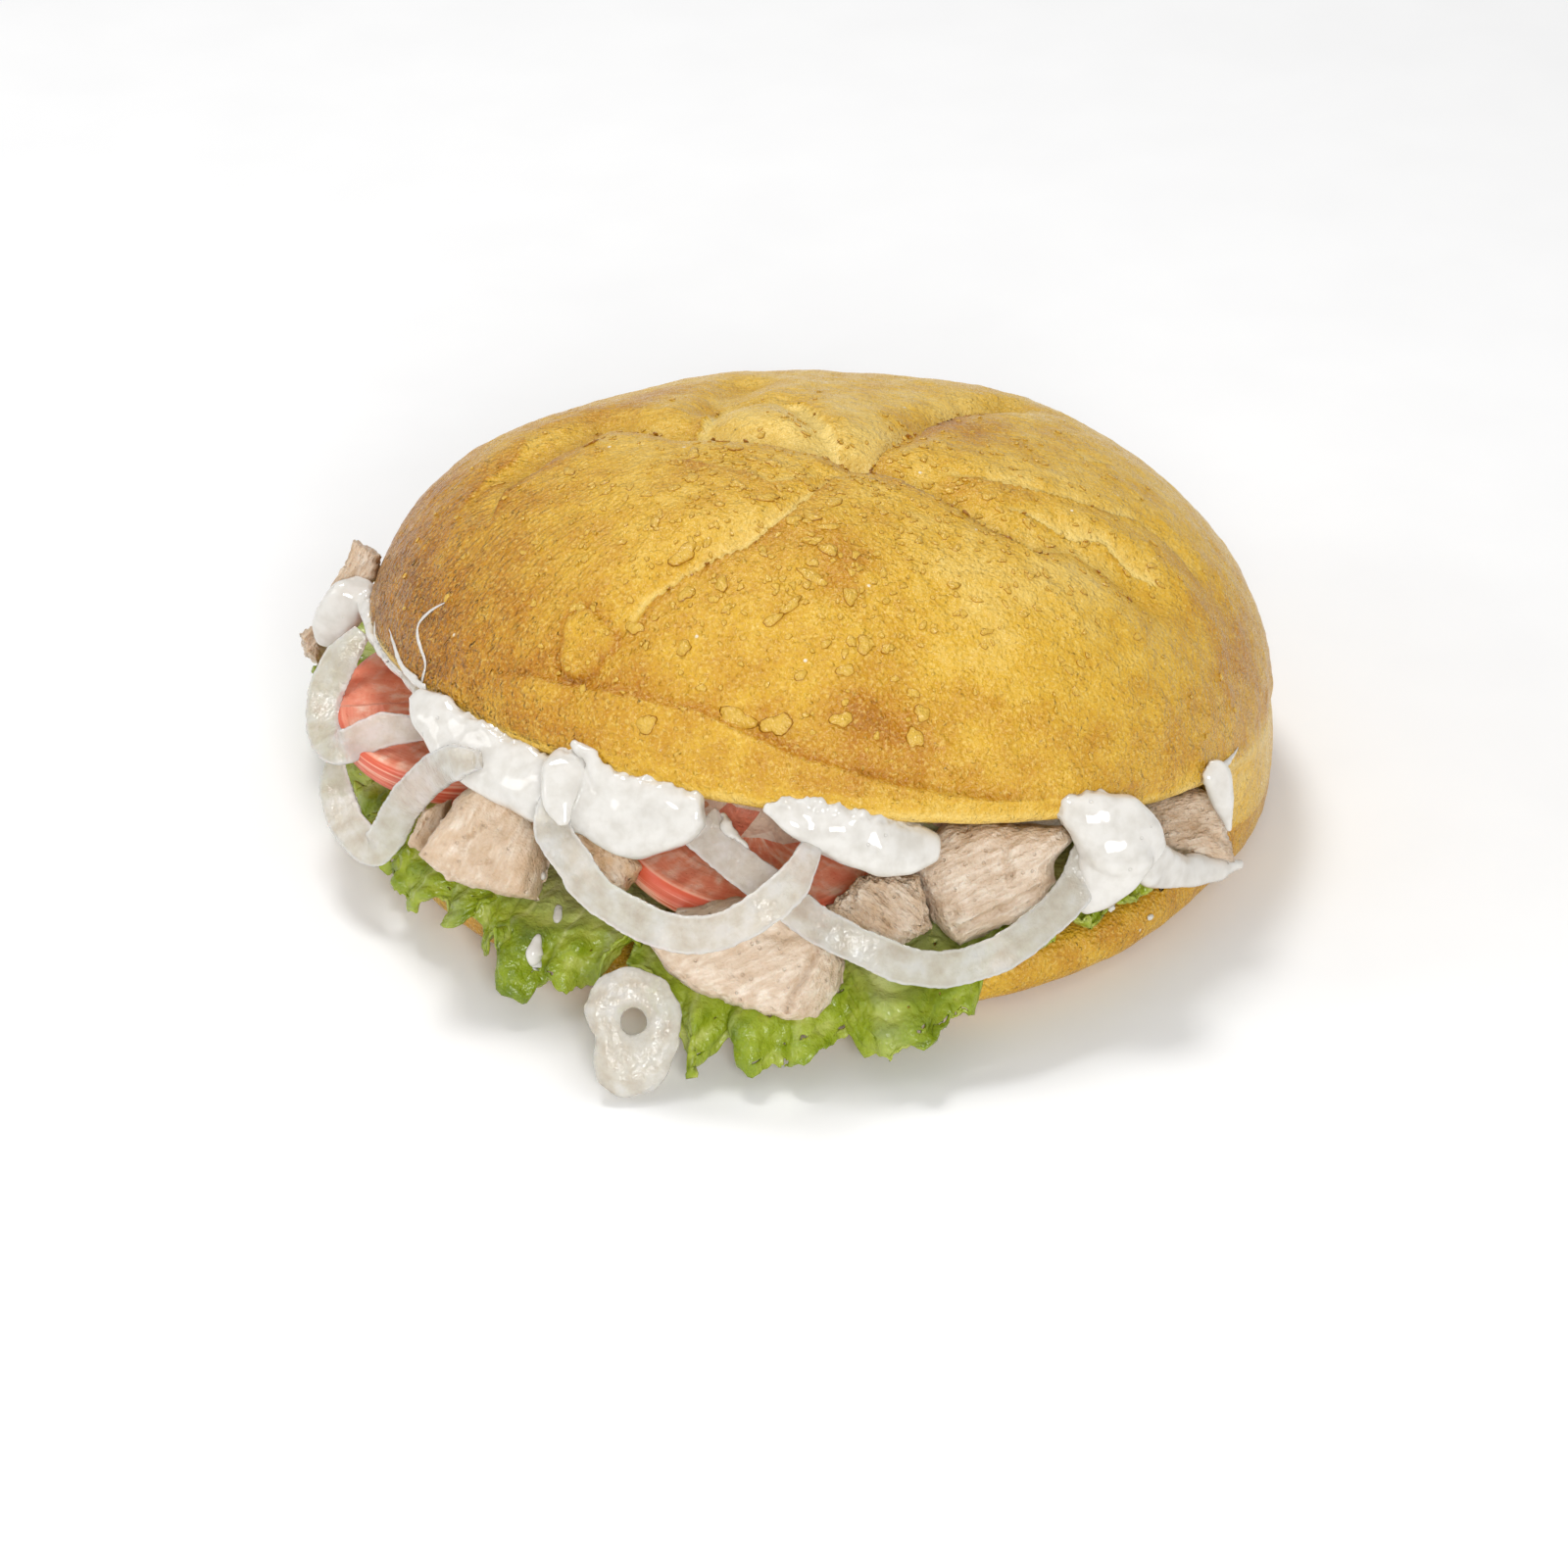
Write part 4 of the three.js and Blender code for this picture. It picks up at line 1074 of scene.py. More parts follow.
def chicken_mesh(chunk, number):
    bm = bmesh.new()
    bmesh.ops.create_icosphere(bm, subdivisions=chunk.detail, radius=1)
    mesh = mesh_of(bm, f"chicken_piece_{number}")
    x, y, z = points_of(mesh).T
    flat = np.hypot(x, y)
    scale = (flat ** CHUNK_BOXINESS + np.abs(z) ** CHUNK_BOXINESS) ** (-1 / CHUNK_BOXINESS)
    angle = np.arctan2(y, x)
    round_edge = np.stack([9 * np.cos(angle), 9 * np.sin(angle), 2 * z], -1)
    ragged = RAGGED_EDGE * noise_at(round_edge, 1.5, 4 * number)
    reach = (outline_reach(chunk.outline, angle) + ragged) * np.minimum(1, flat * scale)
    across, up = reach * np.cos(angle), reach * np.sin(angle)
    torn = 0.3 * np.sin(7 * x + 3 * number) * np.sin(6 * y - number) + 0.2 * np.sin(11 * z + 5 * x)
    out = chunk.depth * z * scale + torn
    for turn, offset, slope in chunk.facets:
        beyond = across * math.cos(math.radians(turn)) + up * math.sin(math.radians(turn)) - offset
        out -= slope * np.maximum(0, beyond) * smooth_step(z * scale * 2)
    cracked = crack_depth(chunk, across, up) * smooth_step(z * scale * 2)
    out -= cracked
    along = across * math.cos(chunk.fibres) + up * math.sin(chunk.fibres)
    aside = -across * math.sin(chunk.fibres) + up * math.cos(chunk.fibres)
    grain = np.stack([aside, along, out], -1)
    set_points(mesh, from_slope(chunk.at, across, up, out))
    painted_pit_shade = tear_meat(mesh, grain, chunk.tears, number)
    set_vector(mesh, "grain", grain + 31 * number)
    # Painted shade in the cracks and pits.
    set_number(mesh, "painted_hollow_shade", np.clip(0.1 * cracked, 0, 0.16) + 0.08 * painted_pit_shade)
    set_number(mesh, "tears", 0 * along + chunk.tears)
    set_number(mesh, "roast", 0 * along + chunk.roast)
    return mesh


def crack_depth(chunk, across, up):
    """How deep the face is cracked, below 0 for a raised line."""
    depth = 0 * across
    face = np.stack([across, up, 0 * up], -1)
    face[:, :2] += 0.5 * np.stack([noise_at(face, 2, 3), noise_at(face, 2, 4)], -1)
    for deep, points in chunk.cracks:
        path = np.array([(*point, 0) for point in points], float)
        depth += deep * np.exp(-((path_distance(face, path) / CRACK_WIDTH) ** 2))
    return depth


def tear_meat(mesh, grain, tears, number):
    """Fibre ridges, torn steps, grains and pits, along the normals; returns how deep pits and strands lie,
    for painted shade.
    """
    strands = np.abs(noise_at(grain, (1.2, 7, 1.2), 3 * number))
    steps = noise_at(grain, (3, 8, 3), 5 * number)
    crumbs = noise_at(grain, (1.3, 2.2, 1.3), 7 * number) + 0.6 * noise_at(grain, 0.6, 8 * number)
    pits = smooth_step((noise_at(grain, 1.3, 9 * number) - 0.5) / 0.2)
    torn = tears * (0.4 - 1.2 * strands + 0.6 * np.round(steps * 3) / 3)
    height = 0.5 * torn + CRUMB_DEPTH * crumbs - PIT_DEPTH * pits - MEAT_SINK
    points = points_of(mesh) + normals_of(mesh) * height[:, None]
    set_points(mesh, points)
    return pits + tears * np.clip(strands - 0.3, 0, 0.4)


TOMATOES = [
    {"at": (-63, -15, 27), "radius": 28, "thickness": 5.5, "roll": 3, "pitch": -2},
    {"at": (-14, -60, 26), "radius": 24, "thickness": 6, "roll": 6, "pitch": 6},
]
TOMATO_COLUMNS = 220
TOMATO_ROWS = 110
# The share of the rows that each cut face takes, and how round the corner of the skin is
TOMATO_FACE = 0.38
TOMATO_CORNER = 0.075
SKIN_FROM = 0.945


def tomato_mesh(slice_, number):
    mesh = ball_mesh(f"tomato_slice_{number}", TOMATO_COLUMNS, TOMATO_ROWS)
    turn, share = ball_rows(mesh, TOMATO_ROWS)
    angle = np.radians(turn)
    edge_rows = 1 - 2 * TOMATO_FACE
    rim = np.clip((share - TOMATO_FACE) / edge_rows, 0, 1) * math.pi
    face = np.where(share < 0.5, share / TOMATO_FACE, (1 - share) / TOMATO_FACE)
    edge_out = 1 - TOMATO_CORNER + TOMATO_CORNER * np.sin(rim) ** 0.7
    on_edge = np.abs(share - 0.5) < edge_rows / 2
    reach = np.where(on_edge, edge_out, (1 - TOMATO_CORNER) * np.minimum(face, 1))
    height = np.sign(np.cos(rim)) * np.abs(np.cos(rim)) ** 0.6 * slice_["thickness"] / 2
    radius = slice_["radius"] * (1 + 0.02 * np.sin(3 * angle + slice_["at"][0]))
    local = np.stack([reach * radius * np.cos(angle), reach * radius * np.sin(angle), height], -1)
    flesh = 1 - smooth_step((reach - 0.9) / 0.05)
    local[:, 2] += np.sign(height) * flesh * (0.28 * noise_at(local, 5, number) - 0.12)
    tilt = Euler((math.radians(slice_["roll"]), math.radians(slice_["pitch"]), 0)).to_matrix()
    set_points(mesh, local @ np.array(tilt).T + np.array(slice_["at"], float))
    set_number(mesh, "skin", smooth_step((reach - SKIN_FROM) / 0.03))
    set_vector(mesh, "grain", np.stack([angle * 9, reach * radius, 1.6 * height + 8 * number], -1))
    return mesh


def spline(points, share):
    """The points of a smooth curve through the points given, at each share of its length."""
    path = np.array(points, float)
    path = np.vstack([2 * path[0] - path[1], path, 2 * path[-1] - path[-2]])
    part = np.clip(share, 0, 1) * (len(points) - 1)
    i = np.minimum(part.astype(int), len(points) - 2)
    t = (part - i)[:, None]
    a, b, c, d = path[i], path[i + 1], path[i + 2], path[i + 3]
    gap = [np.sqrt(np.linalg.norm(q - p, axis=1, keepdims=True)) for p, q in ((a, b), (b, c), (c, d))]
    leave = ((b - a) / gap[0] - (c - a) / (gap[0] + gap[1]) + (c - b) / gap[1]) * gap[1]
    arrive = ((c - b) / gap[1] - (d - b) / (gap[1] + gap[2]) + (d - c) / gap[2]) * gap[1]
    return (
        b + leave * t + (3 * (c - b) - 2 * leave - arrive) * t ** 2
        + (2 * (b - c) + leave + arrive) * t ** 3
    )


def along_path(values, share):
    return np.interp(share * (len(values) - 1), range(len(values)), values)


class Strip:
    """Points of a strip along a path of [x, y, z], its broad side facing out of the mouth."""

    def __init__(self, mesh, rows, path, widths, thicknesses, cap=3):
        turn, share = ball_rows(mesh, rows)
        row = share * rows
        self.share = np.clip((row - cap) / (rows - 2 * cap), 0, 1)
        end = np.clip(np.minimum(row, rows - row) / cap, 0, 1)
        girth = np.sin(end * math.pi / 2)
        centre = spline(path, self.share)
        step = 0.004
        along = unit(spline(path, self.share + step) - spline(path, self.share - step))
        across = unit(np.cross(along, SLOPE_OUT))
        out = np.cross(across, along)
        angle = np.radians(turn)
        self.side = np.sign(np.cos(angle)) * np.abs(np.cos(angle)) ** 0.6
        self.face = np.sign(np.sin(angle)) * np.abs(np.sin(angle)) ** 0.6
        width = along_path(widths, self.share) * girth
        thickness = along_path(thicknesses, self.share) * girth
        self.centre, self.across, self.out = centre, across, out
        self.width, self.thickness = width, thickness

    def points(self, bow=0.0):
        """The strip's surface; bow curves its broad side like the wall of a ring."""
        curve = bow * (self.side ** 2 - 0.4) * self.width / 2
        return (
            self.centre
            + self.across * (self.side * self.width / 2)[:, None]
            + self.out * (self.face * self.thickness / 2 - curve)[:, None]
        )


ONION_WIDTH = 6.6
ONION_THICKNESS = 2.4
ONION_END = 3.5
# Each strip: the width that it starts with, and points of its middle
ONIONS = [
    (3.5, [
        (-86, -4, 38), (-90, -7, 34), (-93, -13, 29), (-92, -22, 26), (-89, -27, 27), (-81, -30, 32),
        (-71, -35, 35),
    ]),
    (3.5, [
        (-91, -23, 21.5), (-90.5, -29, 18.5), (-88, -36, 16), (-83, -44, 15.5), (-80, -45, 19),
        (-77.5, -46.5, 24.5), (-74, -51, 32), (-69.5, -57, 39.5), (-65.2, -63.8, 45.8), (-61.2, -66.6, 47.8),
    ]),
    (6.5, [
        (-43, -70, 45.5), (-46.5, -75, 45.5), (-48, -80, 42), (-45, -84, 38), (-42, -88, 35), (-36, -92, 32),
        (-31, -95, 31), (-24, -97, 30), (-18, -98, 32), (-12, -98, 36), (-7, -94, 38.5), (-3, -87, 42),
    ]),
    (8.5, [
        (-23, -79, 41), (-18, -83, 37), (-10, -88, 33), (-3, -94, 30), (6, -97, 26), (13, -96, 22),
        (21, -94, 20), (29, -91, 21), (36.5, -86, 23.5), (42.5, -81, 27.5), (45, -77.5, 32), (46.5, -74, 36),
    ]),
]
ONION_COLUMNS = 40
ONION_ROWS = 260
ONION_BOW = -0.04
ONION_FRAY = ((0.09, 6, 0), (0.06, 2, 0), (0.05, 0.8, 0))


def onion_mesh(start, path, number):
    mesh = ball_mesh(f"onion_strip_{number}", ONION_COLUMNS, ONION_ROWS)
    widths = [start] + [ONION_WIDTH] * (len(path) - 2) + [ONION_END]
    strip = Strip(mesh, ONION_ROWS, path, widths, [ONION_THICKNESS] * len(path))
    length = np.linalg.norm(np.diff(np.array(path, float), axis=0), axis=1).sum()
    grain = np.stack([strip.side * 3.3, strip.share * length, strip.face], -1)
    edge = grain * (0, 1, 0) + np.stack([9 * np.sign(strip.side), 0 * strip.side, 0 * strip.side], -1)
    strip.width = strip.width * (1 + layered_noise(edge, ONION_FRAY, number))
    points = strip.points(bow=ONION_BOW)
    dents = 0.25 * noise_at(grain, (4, 6, 4), 2 * number) + 0.04 * noise_at(grain, (0.9, 9, 3), number)
    points += strip.out * (dents * strip.face)[:, None]
    set_points(mesh, points)
    set_vector(mesh, "grain", grain + 17 * number)
    # The edge value is a painted highlight along both edges of the strip.
    set_number(mesh, "edge", 0.9 * smooth_step((np.abs(strip.side) - 0.8) / 0.12))
    return outwards(mesh)


# The small closed ring in front, by its outer edge
RING_AT = (-35, -97, 12.5)
RING_HOLE = 2.4
RING_THICKNESS = 3.2
RING_EDGE = [
    (8.5, 2), (6, 7.5), (0, 10), (-6, 8), (-9, 2), (-6.5, -3), (-7.5, -8), (-5.5, -12), (-1, -13.5), (5, -11),
    (8, -4),
]
RING_STEPS = 160
RING_SECTION_POINTS = 28
RING_UNEVENNESS = ((0.35, 3, 2), (0.14, 1.1, 5))
RING_SINK = 0.2


def small_ring_mesh():
    bm = bmesh.new()
    made = bmesh.ops.create_circle(bm, segments=RING_SECTION_POINTS, radius=0.5)
    bmesh.ops.rotate(bm, verts=made["verts"], matrix=Matrix.Rotation(math.pi / 2, 3, "X"))
    bmesh.ops.translate(bm, verts=made["verts"], vec=(1, 0, 0))
    bmesh.ops.spin(bm, geom=bm.verts[:] + bm.edges[:], cent=(0, 0, 0), axis=(0, 0, 1),
                   angle=math.tau, steps=RING_STEPS, use_merge=True)
    mesh = mesh_of(bm, "onion_ring")
    outwards(mesh)
    x, y, z = points_of(mesh).T
    angle = np.arctan2(y, x)
    outer = sum(outline_reach(RING_EDGE, angle + shift) for shift in (-0.12, 0, 0.12)) / 3
    part = (np.hypot(x, y) - 1) * 2
    reach = (outer + RING_HOLE) / 2 + part * (outer - RING_HOLE) / 2
    groove = 0.45 * np.exp(-(((part + 0.15 + 0.2 * np.sin(2 * angle)) / 0.16) ** 2)) * (z > 0)
    points = from_slope(RING_AT, reach * np.cos(angle), reach * np.sin(angle), z * RING_THICKNESS - groove)
    grain = np.stack([reach, angle * 7, z * RING_THICKNESS], -1)
    uneven = layered_noise(points, RING_UNEVENNESS) - RING_SINK
    set_points(mesh, points + unit(points - np.array(RING_AT, float)) * uneven[:, None])
    set_vector(mesh, "grain", grain)
    return mesh


# Lettuce: the frilled edge of each leaf as turn round the bun, radius and height
LEAVES = [
    [(152, 100, 9), (161, 106, 5), (170, 97, 8), (182, 94, 7), (198, 90, 6), (206, 90, 5), (216, 93, 4),
     (222, 91, 4), (225, 88, 7)],
    [(221, 90, 6), (227, 91, 4), (233, 96, 2), (238, 92, 2), (243, 90, 6), (247, 88, 10)],
    [(246, 92, 6), (254, 100, 2), (256, 105, 2), (259, 98, 1.5), (262, 103, 1.5), (265, 101, 1.5),
     (270, 99, 1.5), (272, 95, 6)],
    [(271, 94, 5), (275, 106, 1.5), (278, 104, 1.5), (280, 99, 3), (284, 95, 6), (288, 90, 8), (292, 89, 11)],
    [(291, 91, 11), (297, 90, 12), (303, 89, 12), (310, 89, 13), (318, 87, 14.5)],
]
LEAF_ROOT_RADIUS = 64
LEAF_ROOT_HEIGHT = 14.6
LEAF_THICKNESS = 0.55
LEAF_FRILL = 1.6
LEAF_COLUMNS_PER_MM = 2.4
LEAF_TORN = 0.34
LEAF_SHRINK = np.array((0.995, 0.995, 1))
LEAF_ROWS = 70


def leaf_points(edge, u, v):
    """A leaf's surface, u along its edge and v from its root inside the mouth to its edge."""
    azimuth = mix(edge[0][0], edge[-1][0], u)
    stops = [stop[0] for stop in edge]
    radius = np.interp(azimuth, stops, [stop[1] for stop in edge])
    height = np.interp(azimuth, stops, [stop[2] for stop in edge])
    frill = v * v
    wave = azimuth * 0.85
    reach = LEAF_ROOT_RADIUS * (1 - v) ** 2 + radius * (2 * v * (1 - v) + v * v)
    reach += LEAF_FRILL * frill * np.cos(wave * 1.3)
    rise = LEAF_ROOT_HEIGHT * (1 - v) ** 2 + 40 * v * (1 - v) + (height + 0.8) * v * v
    rise += frill * 1.5 * (1 + np.sin(wave)) * np.minimum(1, height / 3)
    return polar(azimuth, reach, rise)


def leaf_mesh(edge, number):
    span = math.radians(edge[-1][0] - edge[0][0]) * 95
    columns = round(span * LEAF_COLUMNS_PER_MM)
    bm = bmesh.new()
    bmesh.ops.create_grid(bm, x_segments=columns, y_segments=LEAF_ROWS, size=0.5)
    mesh = mesh_of(bm, f"lettuce_leaf_{number}")
    x, y, _ = points_of(mesh).T
    u, v = x + 0.5, y + 0.5
    step = 0.01
    along = leaf_points(edge, u + step, v) - leaf_points(edge, u - step, v)
    out = leaf_points(edge, u, v + step) - leaf_points(edge, u, v - step)
    normal = unit(np.cross(along, out))
    flat = np.stack([u * span, v * 32, 0 * u + 50 * number], -1)
    along_edge = flat * (1, 0, 1)
    ruffle = rough_noise_at(flat * (1, 0.3, 1), 7) * smooth_step((v - 0.3) / 0.6) * 2.6
    ruffle += noise_at(flat * (1, 0.4, 1), 3.2, 21) * smooth_step((v - 0.6) / 0.4) * 1.3
    blisters = 0.3 - 1.1 * np.abs(noise_at(flat, 6, 2)) + layered_noise(flat, ((0.9, 3.6, 5), (0.3, 1.5, 6)))
    jag = np.maximum(0, noise_at(along_edge, 9, 7)) * 13 + np.abs(noise_at(along_edge, 3, 8)) * 3.4
    jag += np.abs(noise_at(along_edge, 1, 9)) * 1.8
    points = leaf_points(edge, u, v) * LEAF_SHRINK
    points += normal * (ruffle + blisters * smooth_step(v / 0.3))[:, None]
    points -= unit(out) * (jag * v ** 5)[:, None]
    points[:, 2] = np.maximum(points[:, 2], 0.5 + 0.25 * (1 + noise_at(flat, 2, 3)))
    set_points(mesh, points)
    # Painted light on the raised ruffles and blisters, painted shade in the folds.
    set_number(mesh, "painted_ridge_light", np.clip(0.5 + 0.3 * (ruffle / 3 + blisters), 0, 1))
    rib = np.exp(-((noise_at(along_edge, 9, 11) / 0.06) ** 2)) * (1 - 0.7 * v)
    set_number(mesh, "pale", np.clip(0.6 * smooth_step(1.3 - 2 * v) + 0.45 * rib, 0, 0.8))
    tear_holes(mesh, flat, v)
    return with_modifiers(mesh, solidify={"thickness": LEAF_THICKNESS, "offset": 0})


def tear_holes(mesh, flat, v):
    """Small ragged holes near a leaf's edge."""
    torn = noise_at(flat, 2.6, 13) + 0.4 * noise_at(flat, 0.9, 14) + 0.5 * (v - 1) > LEAF_TORN
    bm = bmesh.new()
    bm.from_mesh(mesh)
    gone = [face for face in bm.faces if all(torn[vert.index] for vert in face.verts)]
    bmesh.ops.delete(bm, geom=gone, context="FACES")
    bm.to_mesh(mesh)
    bm.free()


# Sauce: strands of (x, y, z, width, thickness) that run together
SAUCES = [
    [
        [(-86, 7, 43, 3.5, 3), (-88, 4, 41, 7.5, 6), (-91, 4, 37, 8.5, 7), (-93, 5, 33, 6.5, 5),
         (-94, 6, 30, 3, 2)],
        [(-86, 3, 41, 3.5, 3), (-84, -8, 41, 2.5, 3), (-80, -20, 42, 2, 3), (-76, -28, 42, 2, 3),
         (-71, -38, 43, 3.5, 3)],
    ],
    [
        [(-73, -46, 49, 3, 3), (-69, -52, 47, 9, 5.5), (-60, -61.5, 45, 11.5, 6.5),
         (-51.5, -69, 43.5, 11.5, 7), (-44, -74, 44, 11, 8), (-35, -79, 44, 14.5, 8),
         (-28, -81.5, 45, 12.5, 7.5), (-22, -83, 46.5, 4.5, 4)],
        [(-44.3, -71.2, 53.3, 1, 1), (-41.4, -73.6, 52.5, 2, 1.5), (-40.3, -75, 50.8, 3, 2.5),
         (-38, -77, 48, 5, 4)],
        [(-45, -70, 50, 6, 4), (-46, -75, 49.5, 7, 4), (-46.8, -78.8, 46.8, 5.5, 2.5),
         (-46, -82, 43.5, 2, 1.5)],
    ],
    [[(-11, -84, 48, 2, 2), (-7, -85, 47, 6, 4), (-2, -85, 44.5, 10, 6), (3, -85, 42.5, 11, 7),
      (9, -85, 40, 10.5, 6.5), (14, -84.5, 38.5, 9, 6), (18, -84, 38, 4, 4)]],
    [
        [(40, -76.5, 41.5, 4, 3), (44.5, -77, 39.5, 10, 6), (49, -77.3, 36.5, 14, 8), (53, -77, 33, 12, 7.5),
         (55.5, -75.5, 30, 6, 5)],
        [(50, -77, 37, 8, 6), (50, -77.6, 32.5, 13, 8), (48, -79, 28, 10, 6.5), (45.5, -81, 25, 5.5, 4.5),
         (43.5, -82.3, 23, 1.5, 1.5)],
        [(52, -75, 31, 8, 6), (58, -67.5, 22.5, 7.5, 4), (62.5, -62.5, 18, 6, 3), (67, -57.5, 15, 4.5, 2.5),
         (71.5, -53.5, 12.8, 2.5, 2), (74.5, -51.5, 12, 1, 1)],
    ],
    [[(66.5, -56, 34.5, 2.5, 2), (68.6, -55.6, 34.5, 5.5, 3.2), (69.6, -56.5, 31.5, 4.5, 3),
      (70.8, -57, 27.5, 2.2, 2), (71.6, -56.5, 22.5, 1.2, 1.2)]],
]
STRAND_COLUMNS = 20
STRAND_ROWS = 48
SAUCE_GRAIN = 0.42
SAUCE_SWELL = 0.15
# How far down from the crust the sauce's edge is ragged, and its raggedness
FRINGE_WIDTH = 1.2
FRINGE = ((0.9, 2, 3), (0.5, 0.9, 4))


def sauce_mesh(strands, number, crust):
    bm = bmesh.new()
    for path in strands:
        strand = ball_mesh("strand", STRAND_COLUMNS, STRAND_ROWS)
        middle = [p[:3] for p in path]
        strip = Strip(strand, STRAND_ROWS, middle, [p[3] for p in path], [p[4] for p in path])
        set_points(strand, strip.points())
        bm.from_mesh(outwards(strand))
    joined = mesh_of(bm, f"sauce_run_{number}")
    joined = with_modifiers(
        joined,
        remesh={"mode": "VOXEL", "voxel_size": SAUCE_GRAIN},
        smooth={"factor": 0.5, "iterations": 10},
    )
    points = points_of(joined)
    to_crust = np.array([crust.find_nearest(Vector(point))[3] for point in points.tolist()])
    fringe = np.exp(-((to_crust / FRINGE_WIDTH) ** 2))
    lumps = 1.1 * noise_at(points, 6, number) + fringe * layered_noise(points, FRINGE)
    set_points(joined, points + normals_of(joined) * (lumps + SAUCE_SWELL)[:, None])
    return joined


# Thin runs, threads and drops of sauce lying on the crust, the leaves and the onion: (x, y, z, width)
DRIPS = [
    [(-67.4, -35.4, 62, 0.4), (-70.2, -33.8, 59.4, 0.7), (-73.1, -33.5, 55.7, 0.6), (-72.5, -37.4, 53.9, 0.8),
     (-71.6, -41.3, 52, 0.6), (-72.3, -42, 48.4, 1.2)],
    [(-79.3, -23.8, 50.2, 0.4), (-77.8, -29.7, 49.5, 0.9), (-76.2, -34.6, 48.3, 1.3), (-73.2, -40.3, 48.5, 2),
     (-71.5, -45, 49, 3)],
    [(-51.9, -72.6, 15.1, 2.4), (-52.9, -75.2, 12.3, 3.2), (-52.6, -75.3, 9.9, 2.2),
     (-53.4, -77.2, 7.2, 0.9)],
    [(-48.6, -65.1, 15.9, 2.2), (-48.9, -69, 14.8, 1.4)],
    [(-19, -78.2, 42.8, 3), (-17.9, -80.8, 41, 2), (-16.4, -81.8, 39.6, 1.6), (-14.5, -83, 38, 2)],
    [(50.1, -72.3, 17.5, 2.2), (50.3, -73.3, 16.3, 1.8)],
    [(57.1, -62.6, 9.1, 1.6), (57.3, -62.9, 8, 1.2)],
    [(-50.8, -67.2, 24.5, 1.8), (-50.8, -67.6, 23, 1.2)],
    [(59.7, -64.7, 19.4, 3), (60.2, -62, 15.5, 2), (60.5, -58.5, 12.5, 1.5)],
    [(69.5, -55, 34, 2), (71.5, -49, 32, 1.6), (75, -43, 32, 0.4)],
    [(-81.5, -14, 46, 0.6), (-81, -19, 44, 1.4), (-79.5, -26, 44, 1.2), (-77, -33, 45, 2.2)],
]
DRIP_STAND = 0.35
DRIP_COLUMNS = 14
DRIP_ROWS = 36
DRIP_LOOK = 0.03


def surface_of(mesh):
    return BVHTree.FromPolygons([v.co for v in mesh.vertices], [p.vertices for p in mesh.polygons])


def nearest_surface(carriers, point):
    """The point on the nearest of the carriers, and the normal there."""
    hits = [carrier.find_nearest(Vector(point)) for carrier in carriers]
    place, normal, _, _ = min(hits, key=lambda hit: hit[3])
    return np.array(place), np.array(normal)


def drips_mesh(carriers):
    bm = bmesh.new()
    for number, drip in enumerate(DRIPS):
        strand = ball_mesh("drip", DRIP_COLUMNS, DRIP_ROWS)
        turn, share = ball_rows(strand, DRIP_ROWS)
        angle = np.radians(turn)
        path = [stop[:3] for stop in drip]
        middle = spline(path, share)
        laid = [nearest_surface(carriers, point) for point in middle.tolist()]
        foot = np.array([place for place, _ in laid])
        normal = unit(np.array([normal for _, normal in laid]))
        way = unit(spline(path, share + DRIP_LOOK) - spline(path, share - DRIP_LOOK))
        across = unit(np.cross(way, normal))
        taper = np.sin(np.clip(share, 0, 1) * math.pi) ** 0.35
        half = along_path([stop[3] for stop in drip], share) / 2 * taper
        half = half * (1 + 0.3 * noise_at(middle, 1.6, number))
        points = foot + across * (half * np.cos(angle))[:, None]
        points += normal * (half * (DRIP_STAND + 0.6 * np.sin(angle)))[:, None]
        set_points(strand, points)
        bm.from_mesh(outwards(strand))
    return mesh_of(bm, "sauce_drips")


HEAP_RADIUS = 67
HEAP_FLOOR = 16.5
HEAP_COLUMNS = 200
HEAP_ROWS = 80
# The share of the rows that the heap's top takes, as does its underside
HEAP_FACE = 0.3
HEAP_UNEVENNESS = ((1.1, 5, 2), (0.6, 2.4, 5))
HEAP_SINK = 0.5


def filling_mesh():
    mesh = ball_mesh("chopped_heap", HEAP_COLUMNS, HEAP_ROWS)
    turn, share = ball_rows(mesh, HEAP_ROWS)
    angle = np.radians(turn)
    side = np.clip((share - HEAP_FACE) / (1 - 2 * HEAP_FACE), 0, 1)
    reach = np.minimum(1, np.minimum(share, 1 - share) / HEAP_FACE)
    bulge = 1 - 0.06 * np.abs(2 * side - 1) ** 4
    on_side = np.abs(share - 0.5) < 0.5 - HEAP_FACE
    radius = HEAP_RADIUS * reach * np.where(on_side, bulge, 0.94) * (1 + 0.03 * np.sin(5 * angle))
    x, y = radius * np.cos(angle), radius * np.sin(angle)
    over = np.maximum(0, x * hinge[0] + y * hinge[1] - (HINGE_INSET - 2))
    x, y = x - over * hinge[0], y - over * hinge[1]
    normal = from_lid((0, 0, 1)) - from_lid((0, 0, 0))
    low = from_lid((0, 0, -LIP_DEPTH - 0.6))
    roof = low[2] - ((x - low[0]) * normal[0] + (y - low[1]) * normal[1]) / normal[2]
    points = np.stack([x, y, mix(roof, HEAP_FLOOR, side)], -1)
    set_points(mesh, points)
    rough = layered_noise(points, HEAP_UNEVENNESS) - HEAP_SINK
    set_points(mesh, points + normals_of(mesh) * (rough * (np.abs(share - 0.5) < 0.22))[:, None])
    return mesh


# The set: floor, lights and camera

FLOOR_HALF_SIDE = 4
LIGHTS_AIM_AT = (0, 0, 0.03)


